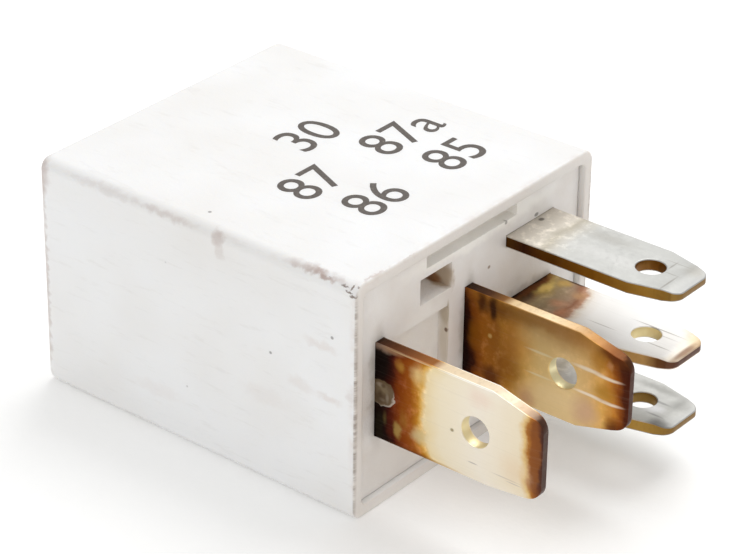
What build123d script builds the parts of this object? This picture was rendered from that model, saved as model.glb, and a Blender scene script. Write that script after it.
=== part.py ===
from build123d import *
from math import asin, cos, degrees, radians, sin, sqrt
import os

# Plug-in automotive relay with five blades, lying on one wide side.
# Origin: middle of the cover's open rim, where the relay meets its socket.
# +X points along the blades, +Y across the width, +Z out of the printed side.

# Cover: deep moulded cap, open at +X
cover_length = 25.0
cover_depth = 15.7
cover_wall = 0.8
cover_corner = 0.8
end_edge = 0.6
rim_edge = 0.15
side_draft = 0.2
side_room = 2.75
stop_rib_width = 0.8
stop_rib_height = 0.5
stop_rib_inset = 2.1

# Base: moulded plate that closes the cover and holds the blades
base_recess = 0.4
base_thickness = 2.8
base_fit = 0.05
base_corner = 0.4
catch_length = 4.0
catch_height = 0.2
catch_width = 1.0
catch_inset = 3.5
catch_setback = 1.2
notch_left = -4.5
notch_right = 4.25
notch_height = 1.0
notch_depth = 1.2
pocket_left = -5.05
pocket_width = 3.0
pocket_bottom = 3.75
pocket_height = 1.7
pocket_depth = 2.0
recess_left = -7.6
recess_right = -2.35
recess_height = 5.3
recess_depth = 0.7
deck_height = 1.6
guide_width = 0.8
guide_height = 2.4

# Blades: 6.3 and 4.8 mm quick-connect blades, all from 0.8 mm sheet
blade_thickness = 0.8
blade_reach = 11.4
blade_fit = 0.03
wide_blade = 6.3
wide_taper_length = 3.5
wide_taper = 0.93
wide_taper_short = 0.35
wide_tip_radius = 0.9
wide_hole = 2.0
wide_hole_setback = 4.57
narrow_blade = 4.8
narrow_taper_length = 3.1
narrow_taper = 0.8
narrow_tip_radius = 0.7
narrow_hole = 1.85
narrow_hole_setback = 3.05
coin_length = 1.0
coin_depth = 0.15
terminal_30_offset = 8.75
terminal_87_pitch = 8.45
row_pitch = 6.0
row_spacing = 4.56
bend_radius = 0.4
strap_gap = 0.9
strap_margin = 0.45
strap_lift = 0.4
strap_neck = 0.7
collar_height = 2.2
tab_reach = 3.0
tab_width = 5.0
tab_corner = 0.8
post_width = 1.2
post_length = 5.8
shoulder_depth = 0.8

# Magnet: core, bobbin, winding and the yoke round them
yoke_thickness = 1.5
yoke_side_gap = 1.5
yoke_bend = 0.75
lug_width = 0.8
lug_height = 0.8
core_diameter = 5.0
neck_diameter = 4.0
stake_depth = 0.5
pole_diameter = 8.4
pole_thickness = 1.0
pole_gap = 0.1
flange_thickness = 1.0
flange_reach = 5.9
flange_side_gap = 0.85
flange_corner = 2.5
flange_gap = 0.1
barrel_wall = 0.75
bore_fit = 0.05
winding_depth = 1.9
ear_width = 2.4
ear_reach = 0.8
foot_overhang = 0.3

# Armature, contact spring and contacts
armature_thickness = 1.2
armature_seat = 0.02
hinge_setback = 0.1
armature_end = 0.7
armature_taper = 1.1
armature_taper_length = 3.3
armature_corner = 1.0
lug_clearance = 0.1
tongue_length = 1.8
spring_thickness = 0.25
spring_width = 7.0
spring_bend = 0.9
spring_foot = 7.4
spring_tip_width = 3.6
spring_window = 2.6
spring_window_length = 4.0
contact_gap = 0.8
contact_clearance = 0.03
contact_inset = 2.3
moving_head = 1.4
moving_height = 0.9
upper_height = 0.6
fixed_head = 1.6
no_height = 0.6
nc_height = 0.5
contact_shank = 0.8
dome = 0.2
end_clearance = 0.3

# Rivets, all closed flush at the tail
rivet_shank = 0.8
rivet_head = 1.3
rivet_height = 0.55
rivet_edge = 0.2
rivet_tail = 1.1
rivet_tail_depth = 0.4
rivet_margin = 0.95
rivet_fit = 0.02
strap_tail = 2.2
armature_seam = 4.7

# Coil wires and the resistor across the coil
wire_diameter = 0.2
wire_sides = 12
wrap_pitch = 0.25
wrap_turns = 2
wrap_clearance = 0.02
wire_lift = 0.5
resistor_radius = 1.1
resistor_waist = 0.9
resistor_cap = 1.2
cap_edge = 0.2
resistor_length = 5.6
resistor_setback = 4.0
lead_radius = 0.3
lead_overlap = 1.0

# Places worked out from the sizes above
cover_width = 2 * (terminal_30_offset + side_room)
cavity_y = cover_width / 2 - cover_wall
cavity_z = cover_depth / 2 - cover_wall
cavity_end = cover_wall - cover_length
base_inner = -base_recess - base_thickness
draft_slope = side_draft / cover_length
base_half_y = cavity_y + draft_slope * base_inner - base_fit
base_half_z = cavity_z - base_fit

half_blade = blade_thickness / 2
y_30 = -terminal_30_offset
y_87 = y_30 + terminal_87_pitch
y_row = y_87 + row_pitch
strap_width = wide_blade / 2 - strap_gap
strap_x = base_inner - strap_lift - half_blade
strap_y = cavity_y - side_draft - strap_margin - half_blade
contact_y = strap_y - contact_inset

yoke_outer = y_30 + half_blade + spring_thickness
yoke_inner = yoke_outer + yoke_thickness
yoke_half = cavity_z - yoke_side_gap
foot_low = base_inner - deck_height
foot_high = foot_low - yoke_thickness
coil_y = yoke_inner + flange_gap + flange_reach
foot_end = y_row - narrow_blade / 2 - foot_overhang

nc_face = cavity_end + end_clearance + blade_thickness + nc_height
spring_outer = nc_face + contact_clearance + contact_gap + upper_height
spring_inner = spring_outer + spring_thickness
yoke_end = spring_inner + armature_thickness + armature_seat
pole_face = yoke_end + pole_gap
pole_back = pole_face + pole_thickness
upper_flange = pole_back + flange_thickness
lower_flange = foot_high - flange_thickness
no_face = spring_inner + moving_height + contact_clearance
no_tab = no_face + no_height

contact_arm = contact_y - yoke_outer
opening_angle = degrees(asin(contact_gap / contact_arm))
rivet_z = wide_blade / 2 - rivet_margin
seam_x = -spring_foot - strap_tail
seam_seats = [Vector(seam_x, y_30 - half_blade, z) for z in (-rivet_z, rivet_z)]
seam_grip = yoke_inner - y_30 + half_blade

barrel_radius = core_diameter / 2 + bore_fit + barrel_wall
winding_radius = barrel_radius + winding_depth
post_y = y_row + (narrow_blade / 2 - post_width / 2) / 2
post_end = base_inner - shoulder_depth - post_length
wire_radius = wire_diameter / 2
wrap_y = post_width / 2 + wire_radius + wrap_clearance
wrap_z = half_blade + wire_radius + wrap_clearance
wrap_corners = [(1, -1), (1, 1), (-1, 1), (-1, -1)]
wire_x = lower_flange - wire_lift
resistor_x = lower_flange - resistor_setback
lead_z = row_spacing - half_blade - lead_radius - wrap_clearance

# The armature's own frame: hinged on the yoke's end edge, swung open by the spring
lever = Plane(
    origin=(yoke_end, yoke_outer, 0),
    x_dir=(cos(radians(opening_angle)), sin(radians(opening_angle)), 0),
    z_dir=(0, 0, 1),
)


def lever_face(height):
    """Plane across the armature, at a height above its hinge edge (outwards is -X)."""
    return Plane(origin=lever.from_local_coords((-height, 0, 0)), x_dir=lever.y_dir, z_dir=lever.x_dir)


def blade(plane, width, root, taper_length, tapers, tip_radius, hole, setback):
    """Flat blade with a tapered, coined tip and a detent hole, from x = root to the tip."""
    half = width / 2
    shoulder = blade_reach - taper_length
    upper, lower = tapers
    with BuildPart() as flat:
        with BuildSketch(plane):
            with BuildLine():
                Polyline(
                    (root, -half),
                    (shoulder, -half),
                    (blade_reach, -half + lower),
                    (blade_reach, half - upper),
                    (shoulder, half),
                    (root, half),
                    close=True,
                )
            face = make_face()
            fillet(face.vertices().sort_by(Axis.X)[-2:], tip_radius)
            with Locations((blade_reach - setback, 0)):
                Circle(hole / 2, mode=Mode.SUBTRACT)
        extrude(amount=half_blade, both=True)
        with BuildSketch(Plane(origin=plane.origin, x_dir=plane.x_dir, z_dir=plane.y_dir)):
            with BuildLine():
                Polyline(
                    (root, -half_blade),
                    (blade_reach - coin_length, -half_blade),
                    (blade_reach, -half_blade + coin_depth),
                    (blade_reach, half_blade - coin_depth),
                    (blade_reach - coin_length, half_blade),
                    (root, half_blade),
                    close=True,
                )
            make_face()
        extrude(amount=width, both=True, mode=Mode.INTERSECT)
    return flat.part


def drafted_block(half_y, half_z, end, corner):
    """Block behind the rim plane that narrows to x = end, with its four long edges rounded."""
    end_y = half_y + draft_slope * end
    with BuildPart() as block:
        with BuildSketch(Plane.XY):
            with BuildLine():
                Polyline((0, half_y), (end, end_y), (end, -end_y), (0, -half_y), close=True)
            make_face()
        extrude(amount=half_z, both=True)
        fillet(block.edges().filter_by(Axis.Y, reverse=True).filter_by(Axis.Z, reverse=True), corner)
    return block.part


def wide_plane(y):
    """Plane of a blade that stands across the thickness of the relay."""
    return Plane(origin=(0, y, 0), x_dir=(1, 0, 0), z_dir=(0, -1, 0))


def row_plane(z):
    """Plane of a blade in the row beside them, which lies flat."""
    return Plane(origin=(0, y_row, z), x_dir=(1, 0, 0), z_dir=(0, 0, 1))


def bent_strip(points, radius, thickness, low, high):
    """Strip bent along a centre line in the XY plane, from z = low to z = high."""
    with BuildPart() as strip:
        with BuildSketch(Plane.XY.offset(low)):
            with BuildLine():
                FilletPolyline(*points, radius=radius)
            trace(line_width=thickness)
        extrude(amount=high - low)
    return strip.part


def contact_strap(foot_x, face_x, low, high, tab_low, tab_high):
    """Riser along the +Y wall that bends in to a tab with a hole for its contact."""
    tab_x = face_x + half_blade
    riser = bent_strip(
        [(foot_x, strap_y), (tab_x, strap_y), (tab_x, contact_y)],
        bend_radius + half_blade,
        blade_thickness,
        low,
        high,
    )
    with BuildPart() as strap:
        add(riser)
        with BuildSketch(Plane.YZ.offset(face_x)):
            with Locations((contact_y, (tab_low + tab_high) / 2)):
                RectangleRounded(tab_reach, tab_high - tab_low, tab_corner)
        extrude(amount=blade_thickness)
        with BuildSketch(Plane.YZ.offset(face_x)):
            with Locations((contact_y, 0)):
                Circle(contact_shank + rivet_fit)
        extrude(amount=blade_thickness, mode=Mode.SUBTRACT)
    return strap.part


def rivet(seat, outward, grip, shank, head, height, tail, domed=False):
    """Rivet: flat or domed head on its seat, shank through the grip, tail closed flush."""
    across = Vector(0, 0, 1) if abs(outward.Z) < 0.5 else Vector(1, 0, 0)
    side = Plane(origin=seat, x_dir=across, z_dir=across.cross(outward))
    with BuildPart() as body:
        with BuildSketch(side):
            with BuildLine():
                if domed:
                    shoulder = height - dome
                    TangentArc((0, height), (head, shoulder), tangent=(1, 0))
                else:
                    shoulder = height - rivet_edge
                    Polyline((0, height), (head - rivet_edge, height), (head, shoulder))
                Polyline(
                    (head, shoulder),
                    (head, 0),
                    (shank, 0),
                    (shank, rivet_tail_depth - grip),
                    (tail, -grip),
                    (0, -grip),
                    (0, height),
                )
            make_face()
        revolve(axis=Axis(side.origin, side.y_dir))
    return body.part


def rivet_hole(seat, outward, grip, shank, tail, start=0):
    """Clearance hole for a rivet, with the countersink that its tail fills."""
    across = Vector(0, 0, 1) if abs(outward.Z) < 0.5 else Vector(1, 0, 0)
    side = Plane(origin=seat, x_dir=across, z_dir=across.cross(outward))
    with BuildPart() as body:
        with BuildSketch(side):
            with BuildLine():
                Polyline(
                    (0, -start),
                    (shank + rivet_fit, -start),
                    (shank + rivet_fit, rivet_tail_depth - grip),
                    (tail + rivet_fit, -grip),
                    (0, -grip),
                    close=True,
                )
            make_face()
        revolve(axis=Axis(side.origin, side.y_dir))
    return body.part


# Cover: five-sided cap with drafted narrow walls, stop ribs and catch grooves
with BuildPart() as cover:
    add(drafted_block(cover_width / 2, cover_depth / 2, -cover_length, cover_corner))
    fillet(cover.faces().sort_by(Axis.X)[0].edges(), end_edge)
    chamfer(cover.faces().sort_by(Axis.X)[-1].edges(), rim_edge)
    add(drafted_block(cavity_y, cavity_z, cavity_end, base_corner), mode=Mode.SUBTRACT)
    with BuildSketch(Plane.YZ.offset(base_inner)):
        with GridLocations(2 * (cavity_y - stop_rib_inset), 2 * cavity_z - stop_rib_height, 2, 2):
            Rectangle(stop_rib_width, stop_rib_height)
    extrude(amount=cavity_end - base_inner)
    with BuildSketch(Plane.XY):
        with Locations((-base_recess - catch_setback - catch_width / 2, 0)):
            with GridLocations(1, 2 * (cavity_y - catch_inset), 1, 2):
                Rectangle(catch_width + 2 * base_fit, catch_length + 2 * base_fit)
    extrude(amount=cavity_z + catch_height + base_fit, both=True, mode=Mode.SUBTRACT)

# Base: plate with blade slots, a raised deck for the yoke and four catch ridges
with BuildPart() as base:
    with BuildSketch(Plane.YZ.offset(-base_recess)):
        RectangleRounded(2 * base_half_y, 2 * base_half_z, base_corner)
    extrude(amount=-base_thickness)
    with BuildSketch(Plane.XZ.offset(cavity_y - catch_inset)) as catch_profile:
        with BuildLine():
            Polyline(
                (-base_recess - catch_setback, base_half_z),
                (-base_recess - catch_setback - catch_width / 3, base_half_z + catch_height),
                (-base_recess - catch_setback - catch_width, base_half_z),
                close=True,
            )
        make_face()
        mirror(about=Plane.XZ)
    extrude(amount=catch_length / 2, both=True)
    mirror(about=Plane.XZ)
    with BuildSketch(Plane.YZ.offset(base_inner)):
        with Locations(((yoke_inner + foot_end) / 2, 0)):
            Rectangle(foot_end - yoke_inner - 2 * yoke_bend, 2 * yoke_half)
    extrude(amount=-deck_height)
    with BuildSketch(Plane.YZ.offset(base_inner)):
        with Locations(((yoke_inner + foot_end) / 2, 0)):
            with GridLocations(1, 2 * (yoke_half + base_fit) + guide_width, 1, 2):
                Rectangle(foot_end - yoke_inner - 2 * yoke_bend, guide_width)
    extrude(amount=-guide_height)
    with BuildSketch(Plane.YZ.offset(base_inner)):
        with Locations((y_87 - half_blade - base_fit, strap_gap - strap_lift)):
            Rectangle(
                foot_end - y_87 + narrow_blade,
                strap_width + 2 * strap_lift,
                align=(Align.MIN, Align.MIN),
            )
    extrude(amount=-guide_height, mode=Mode.SUBTRACT)
    with BuildSketch(Plane.YZ.offset(-base_recess)):
        for y in (y_30, y_87):
            with Locations((y, 0)):
                Rectangle(blade_thickness + 2 * blade_fit, wide_blade + 2 * blade_fit)
        with Locations((y_row, 0)):
            with GridLocations(1, row_spacing, 1, 3):
                Rectangle(narrow_blade + 2 * blade_fit, blade_thickness + 2 * blade_fit)
    extrude(amount=-base_thickness, mode=Mode.SUBTRACT)
    with BuildSketch(Plane.YZ.offset(-base_recess)):
        with Locations((notch_left, base_half_z)):
            Rectangle(notch_right - notch_left, notch_height, align=(Align.MIN, Align.MAX))
    extrude(amount=-notch_depth, mode=Mode.SUBTRACT)
    with BuildSketch(Plane.YZ.offset(-base_recess)):
        with Locations((pocket_left, pocket_bottom)):
            Rectangle(pocket_width, pocket_height, align=(Align.MIN, Align.MIN))
    extrude(amount=-pocket_depth, mode=Mode.SUBTRACT)
    with BuildSketch(Plane.YZ.offset(-base_recess)):
        with Locations((recess_left, 0)):
            Rectangle(recess_right - recess_left, recess_height, align=(Align.MIN, Align.CENTER))
    extrude(amount=-recess_depth, mode=Mode.SUBTRACT)

# Terminal 30: feeds the yoke and the contact spring, riveted flat on both
with BuildPart() as terminal_30:
    add(
        blade(
            wide_plane(y_30),
            wide_blade,
            seam_x - strap_tail,
            wide_taper_length,
            (wide_taper, wide_taper_short),
            wide_tip_radius,
            wide_hole,
            wide_hole_setback,
        )
    )
    fillet(terminal_30.edges().filter_by(Axis.Y).sort_by(Axis.X)[:2], wide_tip_radius)
    for seat in seam_seats:
        add(rivet_hole(seat, Vector(0, -1, 0), seam_grip, rivet_shank, rivet_tail), mode=Mode.SUBTRACT)

# Terminal 87: runs under the coil and up the +Y wall to the normally open contact
with BuildPart() as terminal_87:
    add(
        blade(
            wide_plane(y_87),
            wide_blade,
            base_inner + strap_neck,
            wide_taper_length,
            (wide_taper, wide_taper),
            wide_tip_radius,
            wide_hole,
            wide_hole_setback,
        )
    )
    add(
        bent_strip(
            [(-base_recess, y_87), (strap_x, y_87), (strap_x, strap_y), (foot_high, strap_y)],
            bend_radius + half_blade,
            blade_thickness,
            strap_gap,
            strap_gap + strap_width,
        )
    )
    add(
        contact_strap(
            foot_high,
            no_tab,
            strap_gap,
            strap_gap + strap_width,
            strap_gap + strap_width - tab_width,
            strap_gap + strap_width,
        )
    )

# Terminal 87a: folded collar beside the row, then up to the normally closed contact
collar_top = base_inner - strap_lift - collar_height
with BuildPart() as terminal_87a:
    add(
        blade(
            row_plane(0),
            narrow_blade,
            base_inner - strap_lift,
            narrow_taper_length,
            (narrow_taper, narrow_taper),
            narrow_tip_radius,
            narrow_hole,
            narrow_hole_setback,
        )
    )
    with BuildSketch(Plane.YZ.offset(base_inner - strap_lift)):
        with BuildLine():
            FilletPolyline(
                (y_row - strap_neck, 0),
                (strap_y, 0),
                (strap_y, -strap_gap - strap_width),
                radius=bend_radius + half_blade,
            )
        trace(line_width=blade_thickness)
    extrude(amount=-collar_height)
    add(
        contact_strap(
            base_inner - strap_lift,
            nc_face - nc_height - blade_thickness,
            -strap_gap - strap_width,
            -strap_gap,
            -strap_gap - strap_width,
            tab_width - strap_gap - strap_width,
        )
    )


def coil_terminal(z):
    """Narrow blade whose inner end is a post for the coil wire and the resistor."""
    flat = blade(
        row_plane(z),
        narrow_blade,
        base_inner - shoulder_depth,
        narrow_taper_length,
        (narrow_taper, narrow_taper),
        narrow_tip_radius,
        narrow_hole,
        narrow_hole_setback,
    )
    with BuildPart() as terminal:
        add(flat)
        with BuildSketch(Plane.XY.offset(z)):
            with Locations((base_inner - shoulder_depth, post_y)):
                Rectangle(post_length, post_width, align=(Align.MAX, Align.CENTER))
        extrude(amount=half_blade, both=True)
    return terminal.part


# Terminals 86 and 85: the two ends of the coil
with BuildPart() as terminal_86:
    add(coil_terminal(row_spacing))
with BuildPart() as terminal_85:
    add(coil_terminal(-row_spacing))

# Yoke: steel bracket with a foot under the coil and two lugs beside the hinge
with BuildPart() as yoke:
    with BuildSketch(Plane.XY):
        with BuildLine():
            FilletPolyline(
                (yoke_end, yoke_outer + yoke_thickness / 2),
                (foot_low - yoke_thickness / 2, yoke_outer + yoke_thickness / 2),
                (foot_low - yoke_thickness / 2, foot_end),
                radius=yoke_bend + yoke_thickness / 2,
            )
        trace(line_width=yoke_thickness)
    extrude(amount=yoke_half, both=True)
    with BuildSketch(Plane.XZ.offset(-yoke_inner)):
        with Locations((yoke_end, 0)):
            with GridLocations(1, 2 * yoke_half - lug_width, 1, 2):
                Rectangle(lug_height, lug_width, align=(Align.MAX, Align.CENTER))
    extrude(amount=yoke_thickness)
    with BuildSketch(Plane.XY):
        with BuildLine():
            Polyline(
                (foot_high, coil_y),
                (foot_high, coil_y + neck_diameter / 2 + rivet_fit),
                (foot_low - stake_depth, coil_y + neck_diameter / 2 + rivet_fit),
                (foot_low, coil_y + core_diameter / 2 + rivet_fit),
                (foot_low, coil_y),
                close=True,
            )
        make_face()
    revolve(axis=Axis((0, coil_y, 0), (1, 0, 0)), mode=Mode.SUBTRACT)
    for seat in seam_seats:
        add(rivet_hole(seat, Vector(0, -1, 0), seam_grip, rivet_shank, rivet_tail), mode=Mode.SUBTRACT)

# Core: turned steel pin with a pole head, staked into the yoke's foot
with BuildPart() as core:
    with BuildSketch(Plane.XY):
        with BuildLine():
            Polyline(
                (pole_face, coil_y),
                (pole_face, coil_y + pole_diameter / 2),
                (pole_back, coil_y + pole_diameter / 2),
                (pole_back, coil_y + core_diameter / 2),
                (foot_high, coil_y + core_diameter / 2),
                (foot_high, coil_y + neck_diameter / 2),
                (foot_low - stake_depth, coil_y + neck_diameter / 2),
                (foot_low, coil_y + core_diameter / 2),
                (foot_low, coil_y),
                close=True,
            )
        make_face()
    revolve(axis=Axis((0, coil_y, 0), (1, 0, 0)))
    chamfer(core.edges().filter_by(GeomType.CIRCLE).sort_by(Axis.X)[0], pole_gap)

# Bobbin: spool with flat-sided flanges and two ears that steady the coil posts
with BuildPart() as bobbin:
    with BuildSketch(Plane.YZ.offset(foot_high)):
        with Locations((coil_y, 0)):
            Circle(barrel_radius)
    extrude(amount=pole_back - foot_high)
    for plane_x in (foot_high, upper_flange):
        with BuildSketch(Plane.YZ.offset(plane_x)):
            with Locations((coil_y, 0)):
                RectangleRounded(2 * flange_reach, 2 * (cavity_z - flange_side_gap), flange_corner)
        extrude(amount=-flange_thickness)
    with BuildSketch(Plane.YZ.offset(foot_high)):
        with GridLocations(1, 2 * row_spacing, 1, 2):
            with Locations((coil_y + flange_reach - flange_corner, 0)):
                Rectangle(
                    post_y + post_width / 2 + ear_reach - coil_y - flange_reach + flange_corner,
                    ear_width,
                    align=(Align.MIN, Align.CENTER),
                )
    extrude(amount=-flange_thickness)
    with BuildSketch(Plane.YZ.offset(foot_high)):
        with GridLocations(1, 2 * row_spacing, 1, 2):
            with Locations((post_y, 0)):
                Rectangle(post_width + 2 * bore_fit, blade_thickness + 2 * bore_fit)
        with Locations((coil_y, 0)):
            Circle(core_diameter / 2 + bore_fit)
    extrude(amount=pole_back - foot_high, mode=Mode.SUBTRACT)
    with BuildSketch(Plane.XY):
        with BuildLine():
            Polyline(
                (foot_high, yoke_inner),
                (foot_high, yoke_inner + yoke_bend + flange_gap),
                (foot_high - yoke_bend - flange_gap, yoke_inner),
                close=True,
            )
        make_face()
    extrude(amount=cavity_z, both=True, mode=Mode.SUBTRACT)

# Winding: enamelled copper wire filling the bobbin between its flanges
with BuildPart() as coil_winding:
    with BuildSketch(Plane.XY):
        with BuildLine():
            Polyline(
                (lower_flange, coil_y + winding_radius),
                (lower_flange, coil_y + barrel_radius),
                (upper_flange, coil_y + barrel_radius),
                (upper_flange, coil_y + winding_radius),
                close=True,
            )
        make_face()
    revolve(axis=Axis((0, coil_y, 0), (1, 0, 0)))


def coil_lead():
    """Wire from the winding's side to terminal 86, wrapped tightly round its flat post."""
    start_y = coil_y + sqrt(winding_radius**2 - (row_spacing - wrap_z - wire_radius) ** 2) + wire_radius
    points = [(wire_x, start_y, row_spacing - wrap_z)]
    for step in range(len(wrap_corners) * wrap_turns):
        across, up = wrap_corners[step % len(wrap_corners)]
        x = wire_x - step * wrap_pitch / len(wrap_corners)
        points.append((x, post_y + across * wrap_y, row_spacing + up * wrap_z))
    with BuildPart() as lead:
        with BuildLine() as run:
            Polyline(*points)
        with BuildSketch(Plane(origin=run.line @ 0, z_dir=run.line % 0)):
            RegularPolygon(wire_radius, wire_sides)
        sweep(transition=Transition.RIGHT)
    return lead.part


# Coil wires: one to each coil terminal
with BuildPart() as coil_lead_start:
    add(coil_lead())
with BuildPart() as coil_lead_finish:
    add(mirror(coil_lead(), about=Plane.XY, mode=Mode.PRIVATE))

# Suppression resistor: lacquered body between two pressed caps
with BuildPart() as resistor:
    with BuildSketch(Plane.XZ.offset(-post_y)):
        with BuildLine():
            half = resistor_length / 2
            Polyline(
                (resistor_x, -half),
                (resistor_x + resistor_radius, -half),
                (resistor_x + resistor_radius, resistor_cap - half),
                (resistor_x + resistor_waist, resistor_cap + cap_edge - half),
                (resistor_x + resistor_waist, half - resistor_cap - cap_edge),
                (resistor_x + resistor_radius, half - resistor_cap),
                (resistor_x + resistor_radius, half),
                (resistor_x, half),
                close=True,
            )
        make_face()
    revolve(axis=Axis((resistor_x, post_y, 0), (0, 0, 1)))
    chamfer(resistor.edges().filter_by(GeomType.CIRCLE).group_by(Axis.Z)[0], cap_edge)
    chamfer(resistor.edges().filter_by(GeomType.CIRCLE).group_by(Axis.Z)[-1], cap_edge)


def resistor_lead():
    """Tinned wire from the resistor's cap, bent along the post of terminal 86."""
    with BuildPart() as lead:
        with BuildLine() as run:
            Polyline(
                (resistor_x, post_y, resistor_length / 2),
                (resistor_x, post_y, lead_z),
                (post_end + lead_overlap, post_y, lead_z),
            )
        with BuildSketch(Plane(origin=run.line @ 0, z_dir=run.line % 0)):
            RegularPolygon(lead_radius, wire_sides)
        sweep(transition=Transition.RIGHT)
    return lead.part


# Resistor leads: welded to the inner faces of the two coil posts
with BuildPart() as resistor_lead_86:
    add(resistor_lead())
with BuildPart() as resistor_lead_85:
    add(mirror(resistor_lead(), about=Plane.XY, mode=Mode.PRIVATE))

# Armature: steel plate hinged on the yoke, with a tongue between the yoke's lugs
armature_low = armature_seat
armature_high = armature_seat + armature_thickness
tongue_half = yoke_half - lug_width - lug_clearance
plate_end = coil_y + pole_diameter / 2 + armature_end - yoke_outer
armature_seats = [
    lever.from_local_coords((-armature_high - spring_thickness, armature_seam, z))
    for z in (-rivet_z, rivet_z)
]
lever_out = -lever.x_dir
armature_grip = armature_thickness + spring_thickness
with BuildPart() as armature:
    with BuildSketch(lever_face(armature_low)):
        with BuildLine():
            Polyline(
                (hinge_setback, -tongue_half),
                (tongue_length, -tongue_half),
                (tongue_length, -yoke_half),
                (plate_end - armature_taper_length, -yoke_half),
                (plate_end, armature_taper - yoke_half),
                (plate_end, yoke_half - armature_taper),
                (plate_end - armature_taper_length, yoke_half),
                (tongue_length, yoke_half),
                (tongue_length, tongue_half),
                (hinge_setback, tongue_half),
                close=True,
            )
        plate = make_face()
        fillet(plate.vertices().sort_by(Axis.X)[-2:], armature_corner)
    extrude(amount=-armature_thickness)
    fillet(armature.edges().filter_by(Axis.Z).sort_by(Axis.Y)[0], spring_bend)
    for seat in armature_seats:
        add(rivet_hole(seat, lever_out, armature_grip, rivet_shank, rivet_tail), mode=Mode.SUBTRACT)

# Contact spring: one leaf, riveted on the yoke, bent over the hinge, free at the contact
leaf_y = yoke_outer - spring_thickness / 2
leaf_height = armature_high + spring_thickness / 2
leaf_corner = (leaf_y - yoke_outer + leaf_height * sin(radians(opening_angle))) / cos(
    radians(opening_angle)
)
corner_point = lever.from_local_coords((-leaf_height, leaf_corner, 0))
tip_point = lever.from_local_coords((-leaf_height, contact_arm + fixed_head, 0))
spring_half = spring_width / 2
tip_half = spring_tip_width / 2
neck_start = plate_end - armature_corner
with BuildPart() as contact_spring:
    add(
        bent_strip(
            [(-spring_foot, leaf_y), (corner_point.X, corner_point.Y), (tip_point.X, tip_point.Y)],
            spring_bend,
            spring_thickness,
            -spring_half,
            spring_half,
        )
    )
    with BuildSketch(lever_face(armature_high)):
        with BuildLine():
            Polyline(
                (neck_start, spring_half),
                (contact_arm - moving_head, tip_half),
                (contact_arm + fixed_head, tip_half),
                (contact_arm + fixed_head, spring_width),
                (neck_start, spring_width),
                close=True,
            )
        make_face()
        mirror(about=Plane.XZ)
    extrude(amount=spring_thickness * 2, both=True, mode=Mode.SUBTRACT)
    with BuildSketch(Plane.XZ.offset(-yoke_outer)):
        with Locations((seam_x - strap_tail - spring_window_length, 0)):
            SlotOverall(spring_window_length + spring_window, spring_window)
    extrude(amount=spring_thickness * 2, mode=Mode.SUBTRACT)
    for seat in seam_seats:
        add(rivet_hole(seat, Vector(0, -1, 0), seam_grip, rivet_shank, rivet_tail), mode=Mode.SUBTRACT)
    for seat in armature_seats:
        add(rivet_hole(seat, lever_out, armature_grip, rivet_shank, rivet_tail), mode=Mode.SUBTRACT)
    with BuildSketch(lever_face(armature_high)):
        with Locations((contact_arm, 0)):
            Circle(contact_shank + rivet_fit)
    extrude(amount=spring_thickness * 2, both=True, mode=Mode.SUBTRACT)

# Rivets through terminal 30, the spring and the yoke
with BuildPart() as yoke_rivets:
    for seat in seam_seats:
        add(rivet(seat, Vector(0, -1, 0), seam_grip, rivet_shank, rivet_head, rivet_height, rivet_tail))

# Rivets through the spring and the armature
with BuildPart() as armature_rivets:
    for seat in armature_seats:
        add(rivet(seat, lever_out, armature_grip, rivet_shank, rivet_head, rivet_height, rivet_tail))

# Moving contact: double-headed rivet in the spring's free end
contact_foot = lever.from_local_coords((0, contact_arm, 0))
contact_plane = Plane(origin=contact_foot, x_dir=lever.y_dir, z_dir=lever.z_dir)
with BuildPart() as moving_contact:
    with BuildSketch(contact_plane):
        with BuildLine():
            top = armature_high + spring_thickness + upper_height
            under = armature_high - moving_height
            TangentArc((0, top), (moving_head, top - dome), tangent=(1, 0))
            Polyline(
                (moving_head, top - dome),
                (moving_head, armature_high + spring_thickness),
                (contact_shank, armature_high + spring_thickness),
                (contact_shank, armature_high),
                (moving_head, armature_high),
                (moving_head, under + dome),
            )
            TangentArc((0, under), (moving_head, under + dome), tangent=(1, 0))
            Line((0, under), (0, top))
        make_face()
    revolve(axis=Axis(contact_plane.origin, contact_plane.y_dir))

# Fixed contacts: rivets in the tabs of terminals 87 and 87a
with BuildPart() as no_contact:
    add(
        rivet(
            Vector(no_tab, contact_y, 0),
            Vector(-1, 0, 0),
            blade_thickness,
            contact_shank,
            fixed_head,
            no_height,
            contact_shank,
            domed=True,
        )
    )
with BuildPart() as nc_contact:
    add(
        rivet(
            Vector(nc_face - nc_height, contact_y, 0),
            Vector(1, 0, 0),
            blade_thickness,
            contact_shank,
            fixed_head,
            nc_height,
            contact_shank,
            domed=True,
        )
    )

pieces = {
    "cover": cover,
    "base": base,
    "terminal_30": terminal_30,
    "terminal_87": terminal_87,
    "terminal_87a": terminal_87a,
    "terminal_86": terminal_86,
    "terminal_85": terminal_85,
    "no_contact": no_contact,
    "nc_contact": nc_contact,
    "moving_contact": moving_contact,
    "contact_spring": contact_spring,
    "armature": armature,
    "armature_rivets": armature_rivets,
    "yoke": yoke,
    "yoke_rivets": yoke_rivets,
    "core": core,
    "bobbin": bobbin,
    "coil_winding": coil_winding,
    "coil_lead_start": coil_lead_start,
    "coil_lead_finish": coil_lead_finish,
    "resistor": resistor,
    "resistor_lead_86": resistor_lead_86,
    "resistor_lead_85": resistor_lead_85,
}
os.makedirs("parts", exist_ok=True)
for name, piece in pieces.items():
    piece.part.label = name
    export_step(piece.part, f"parts/{name}.step")
print(f"hinge {yoke_end:.3f} {yoke_outer:.3f}  opens {opening_angle:.3f} degrees")
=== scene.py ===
from math import cos, pi, radians, sin

import bmesh
import bpy
from mathutils import Matrix, Vector


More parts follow.
